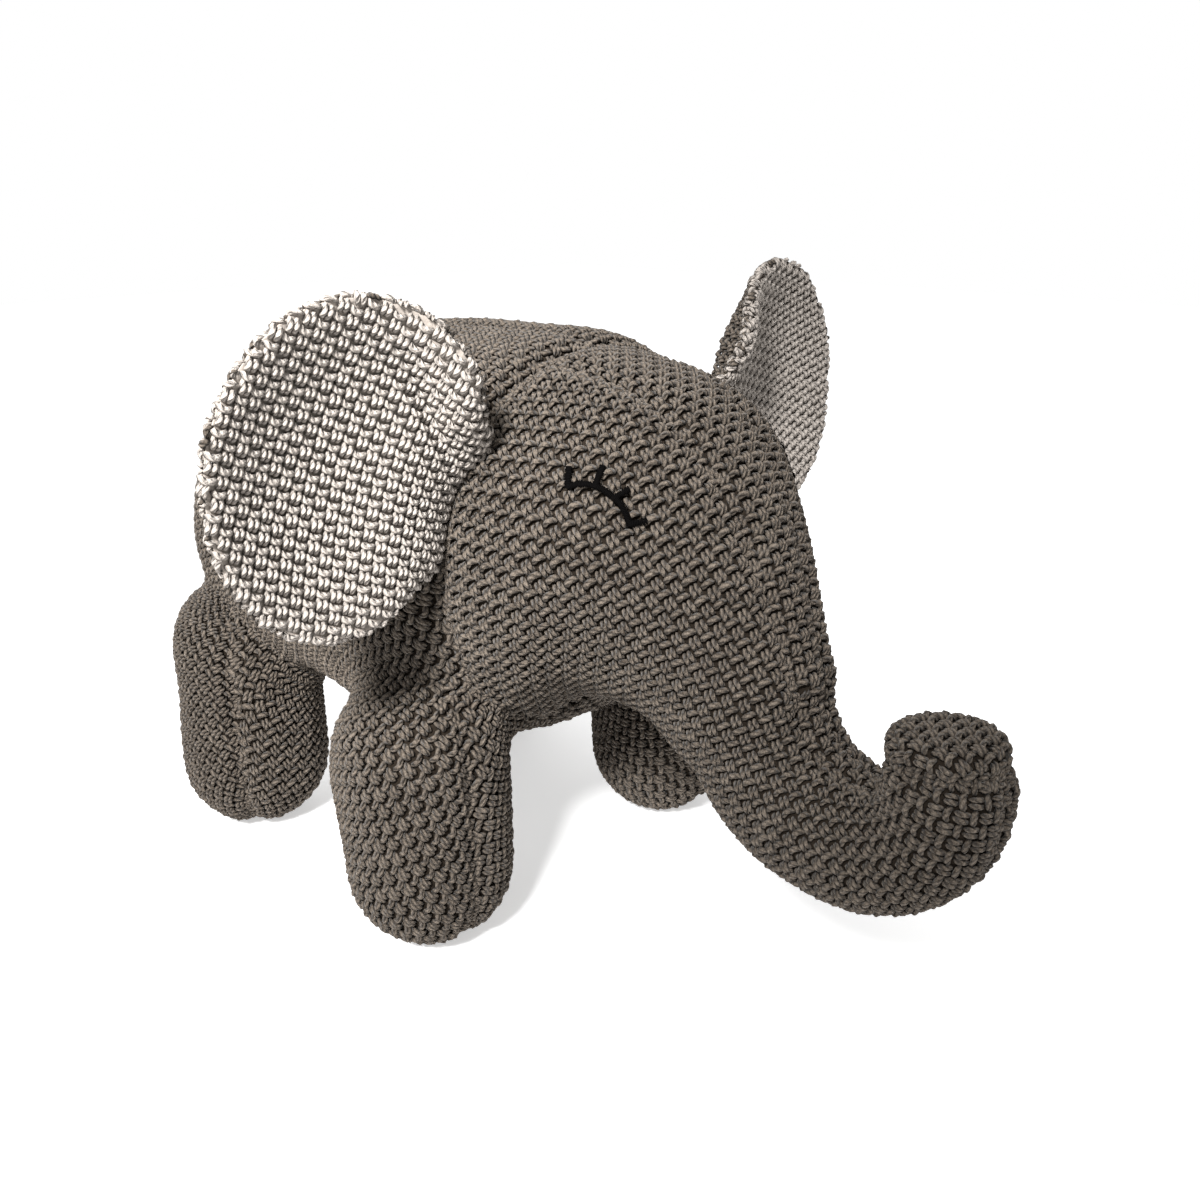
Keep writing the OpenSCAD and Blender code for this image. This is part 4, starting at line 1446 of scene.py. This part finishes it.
def make_tail():
    """A knitted tail cord with a tuft of yarn ends."""
    knit = settings("knit")
    root = np.array(JOINTS["tail_lift"]["pos_m"], float)
    low, high = (np.array(corner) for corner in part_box("tail_cord"))
    radius = (high[0] - low[0]) / 2 - 0.0012
    tuft_low, tuft_high = (np.array(corner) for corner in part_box("tail_tuft"))
    tuft = (tuft_low + tuft_high) / 2
    down = tuft - root
    down /= np.linalg.norm(down)
    length = np.linalg.norm(tuft - root)
    side = np.array((1.0, 0, 0))
    behind = np.cross(side, down)
    columns, rows = 24, 20
    points, flat = [], []
    for i in range(rows + 1):
        t = i / rows
        r = radius * min(1.0, math.sqrt(max(0.0, 1 - (1 - min(1, t * 9)) ** 2)) + 0.05)
        at = root - down * radius * 0.9 + down * (length + radius * 0.4) * t
        for k in range(columns + 1):
            angle = 2 * math.pi * k / columns
            points.append(at + r * (side * math.cos(angle) + behind * math.sin(angle)))
            flat.append((k / columns * 2 * math.pi * radius, -t * (length + radius * 0.4)))
    points, flat = np.array(points), np.array(flat)
    tris = []
    for i in range(rows):
        for k in range(columns):
            a = i * (columns + 1) + k
            b, c, d = a + 1, a + columns + 1, a + columns + 2
            tris += [(a, b, d), (a, d, c)]
    tris = np.array(tris)
    a, b, c = points[tris[len(tris) // 2]]
    if np.dot(np.cross(b - a, c - a), a - root - down * np.dot(a - root, down)) < 0:
        tris = tris[:, ::-1]
        flat = flat * (-1, 1)
    flat = flat - flat.mean(0)
    count = max(4, 2 * round(math.pi * radius / knit.ear_stitch_w))
    across, along, *_ = stretch_vectors(points, tris, flat)
    cord = knitted("tail_knit", points, tris, flat[tris], (across, along),
                   2 * math.pi * radius / count, TAIL_STITCH_H, taupe_yarn())
    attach(cord, "tail")
    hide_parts("tail_cord")
    core = [i * (columns + 1) + k for i in range(rows + 1) for k in range(columns)]
    axis = root + np.outer((points[core] - root) @ down, down)
    core_points = points[core] - (points[core] - axis) * 0.12
    core_tris = []
    for i in range(rows):
        for k in range(columns):
            p, q = i * columns + k, i * columns + (k + 1) % columns
            core_tris += [(p, q, q + columns), (p, q + columns, p + columns)]
    core_tris = np.array(core_tris)
    core_points, core_tris = capped(core_points, core_tris)
    a, b, c = core_points[core_tris[len(core_tris) // 3]]
    if np.dot(np.cross(b - a, c - a), a - root - down * np.dot(a - root, down)) < 0:
        core_tris = core_tris[:, ::-1]
    pad = piece_of("tail_padding", mesh_of("tail_padding", core_points, core_tris))
    # the tail padding's taupe is darkened as painted shade in the holes between stitches
    pad.data.materials.append(backing_and_hole_shade_material("taupe_backing_shade", settings("colours").taupe_dark))
    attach(pad, "tail")
    make_tuft(root + down * (length - radius), down, tuft_high[0] - tuft_low[0], radius)


def make_tuft(top, down, width, neck):
    """The tuft at the end of the tail: yarn ends that spread and hang, tied at their top."""
    draw = np.random.default_rng(settings("knit").seed)
    strands, tone = [], []
    side = np.array((1.0, 0, 0))
    behind = np.cross(side, down)
    for i in range(TUFT_ENDS):
        share = math.sqrt((i + 0.5) / TUFT_ENDS)
        angle = i * GOLDEN_ANGLE
        way = side * math.cos(angle) + behind * math.sin(angle)
        start = neck * 0.9 * share
        bulge = (width / 2 - 0.0018) * share * draw.uniform(0.85, 1.0)
        length = width * draw.uniform(0.95, 1.12)
        path = []
        for t in np.linspace(0, 1, 7):
            spread = math.sin(min(1.0, t * 1.35) * math.pi / 2)
            out = start + (bulge - start) * spread - 0.12 * bulge * t * t
            path.append(top + way * out + down * (length * t - 0.002))
        strands.append(strand(path, TUFT_YARN_R, 6))
        tone.append(np.full(len(strands[-1][0]), draw.uniform(0, 1)))
    # proud is fixed at 0.75, so the tuft gets only a little of the painted strand shade
    tuft = piece_of("tail_tuft_yarn", yarn_mesh(
        "tail_tuft_yarn", *joined(strands), proud=0.75, tone=np.concatenate(tone)))
    tuft.data.materials.append(taupe_yarn())
    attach(tuft, "tail")
    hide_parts("tail_tuft")


# ---------- stage ----------


def aimed_light(name, kind, place, target, power):
    """A light at place that points at target."""
    data = bpy.data.lights.new(name, kind)
    data.energy = power
    light = bpy.data.objects.new(name, data)
    bpy.context.scene.collection.objects.link(light)
    light.location = place
    light.rotation_mode = "QUATERNION"
    light.rotation_quaternion = (Vector(target) - Vector(place)).to_track_quat("-Z", "Y")
    return data


def make_stage():
    """Pale floor, soft studio light and the camera."""
    stage = settings("stage")
    half = stage.floor / 2
    mesh = bpy.data.meshes.new("floor")
    mesh.from_pydata([(-half, -half, 0), (half, -half, 0), (half, half, 0), (-half, half, 0)], [],
                     [(0, 1, 2, 3)])
    floor = piece_of("floor", mesh)
    shader = Shader("pale_floor", 0.9, Specular_IOR_Level=0.1)
    shader.surface.inputs["Base Color"].default_value = (0.93, 0.93, 0.93, 1.0)
    shader.surface.inputs["Emission Color"].default_value = (1.0, 1.0, 1.0, 1.0)
    shader.surface.inputs["Emission Strength"].default_value = 0.5
    floor.data.materials.append(shader.material)
    low, high = CAD_BOX
    middle = (Vector(low) + Vector(high)) / 2
    look = middle + Vector(stage.look)
    e, a = stage.elevation, stage.azimuth
    back = Vector((math.sin(a) * math.cos(e), -math.cos(a) * math.cos(e), math.sin(e)))
    camera = bpy.data.objects.new("camera", bpy.data.cameras.new("camera"))
    bpy.context.scene.collection.objects.link(camera)
    camera.data.lens = stage.lens
    camera.data.sensor_width = 36
    camera.data.clip_start = 0.01
    camera.data.clip_end = 50
    camera.location = look + back * stage.distance
    camera.rotation_mode = "QUATERNION"
    camera.rotation_quaternion = (-back).to_track_quat("-Z", "Y")
    bpy.context.scene.camera = camera
    key = aimed_light("key_light", "SPOT", (-0.95, -0.45, 1.05), (-0.08, 0.03, 0.22), 250.0)
    key.spot_size = math.radians(23)
    key.spot_blend = 1.0
    key.shadow_soft_size = 0.16
    sun = aimed_light("soft_sun", "SUN", (-0.4, 0.1, 1.0), (0, 0, 0), 1.1)
    sun.angle = math.radians(80)
    back_light = aimed_light("back_light", "SUN", (0.7, 0.9, 0.8), (0, 0, 0), 0.9)
    back_light.angle = math.radians(60)
    world = bpy.data.worlds.new("studio")
    world.use_nodes = True
    nodes, links = world.node_tree.nodes, world.node_tree.links
    nodes["Background"].inputs[0].default_value = (1, 1, 1, 1)
    seen = nodes.new("ShaderNodeLightPath")
    strength = nodes.new("ShaderNodeMapRange")
    strength.inputs[3].default_value = 0.30
    strength.inputs[4].default_value = 1.0
    links.new(seen.outputs["Is Camera Ray"], strength.inputs[0])
    links.new(strength.outputs[0], nodes["Background"].inputs[1])
    bpy.context.scene.world = world
    bpy.context.scene.view_settings.view_transform = "Standard"


# ---------- operators, panel and run ----------


class ELEPHANT_OT_padding(bpy.types.Operator):
    """Make the padded skins of the torso and head, trunk and legs"""
    bl_idname = "elephant.padding"
    bl_label = "Padding"

    def execute(self, context):
        make_padding()
        return {"FINISHED"}


class ELEPHANT_OT_covers(bpy.types.Operator):
    """Knit the covers of the torso, head, trunk and legs"""
    bl_idname = "elephant.covers"
    bl_label = "Knitted covers"

    def execute(self, context):
        knit_covers()
        return {"FINISHED"}


class ELEPHANT_OT_ears(bpy.types.Operator):
    """Make both ears, with cream fronts and taupe backs"""
    bl_idname = "elephant.ears"
    bl_label = "Ears"

    def execute(self, context):
        for side in SIDES:
            make_ear(side)
        return {"FINISHED"}


class ELEPHANT_OT_eyes(bpy.types.Operator):
    """Embroider the closed eyes"""
    bl_idname = "elephant.eyes"
    bl_label = "Eyes"

    def execute(self, context):
        make_eyes()
        return {"FINISHED"}


class ELEPHANT_OT_neck_cord(bpy.types.Operator):
    """Lay the drawn cord round the neck"""
    bl_idname = "elephant.neck_cord"
    bl_label = "Neck cord"

    def execute(self, context):
        make_neck_cord()
        return {"FINISHED"}


class ELEPHANT_OT_tail(bpy.types.Operator):
    """Make the tail and its tuft"""
    bl_idname = "elephant.tail"
    bl_label = "Tail"

    def execute(self, context):
        make_tail()
        clear_stitches()
        return {"FINISHED"}


class ELEPHANT_OT_stage(bpy.types.Operator):
    """Make the floor, the lights and the camera"""
    bl_idname = "elephant.stage"
    bl_label = "Stage"

    def execute(self, context):
        make_stage()
        return {"FINISHED"}


OPERATORS = (
    ELEPHANT_OT_padding, ELEPHANT_OT_covers, ELEPHANT_OT_ears, ELEPHANT_OT_eyes,
    ELEPHANT_OT_neck_cord, ELEPHANT_OT_tail, ELEPHANT_OT_stage,
)


class ELEPHANT_PT_panel(bpy.types.Panel):
    """The elephant's settings and the buttons that make it"""
    bl_label = "Knitted Elephant"
    bl_idname = "ELEPHANT_PT_panel"
    bl_space_type = "VIEW_3D"
    bl_region_type = "UI"
    bl_category = "Elephant"

    def draw(self, context):
        for operator in OPERATORS:
            self.layout.operator(operator.bl_idname)
        for name, group in SETTINGS.items():
            column = self.layout.column()
            for key in group.__annotations__:
                column.prop(getattr(context.scene, name), key)


def register():
    for group in SETTINGS.values():
        bpy.utils.register_class(group)
    for name, group in SETTINGS.items():
        setattr(bpy.types.Scene, name, bpy.props.PointerProperty(type=group))
    for operator in OPERATORS:
        bpy.utils.register_class(operator)
    bpy.utils.register_class(ELEPHANT_PT_panel)


def unregister():
    bpy.utils.unregister_class(ELEPHANT_PT_panel)
    for operator in reversed(OPERATORS):
        bpy.utils.unregister_class(operator)
    for name, group in SETTINGS.items():
        delattr(bpy.types.Scene, name)
        bpy.utils.unregister_class(group)


def main():
    register()
    bpy.ops.elephant.stage()
    bpy.ops.elephant.padding()
    bpy.ops.elephant.covers()
    bpy.ops.elephant.ears()
    bpy.ops.elephant.eyes()
    bpy.ops.elephant.neck_cord()
    bpy.ops.elephant.tail()


if __name__ == "__main__":
    main()
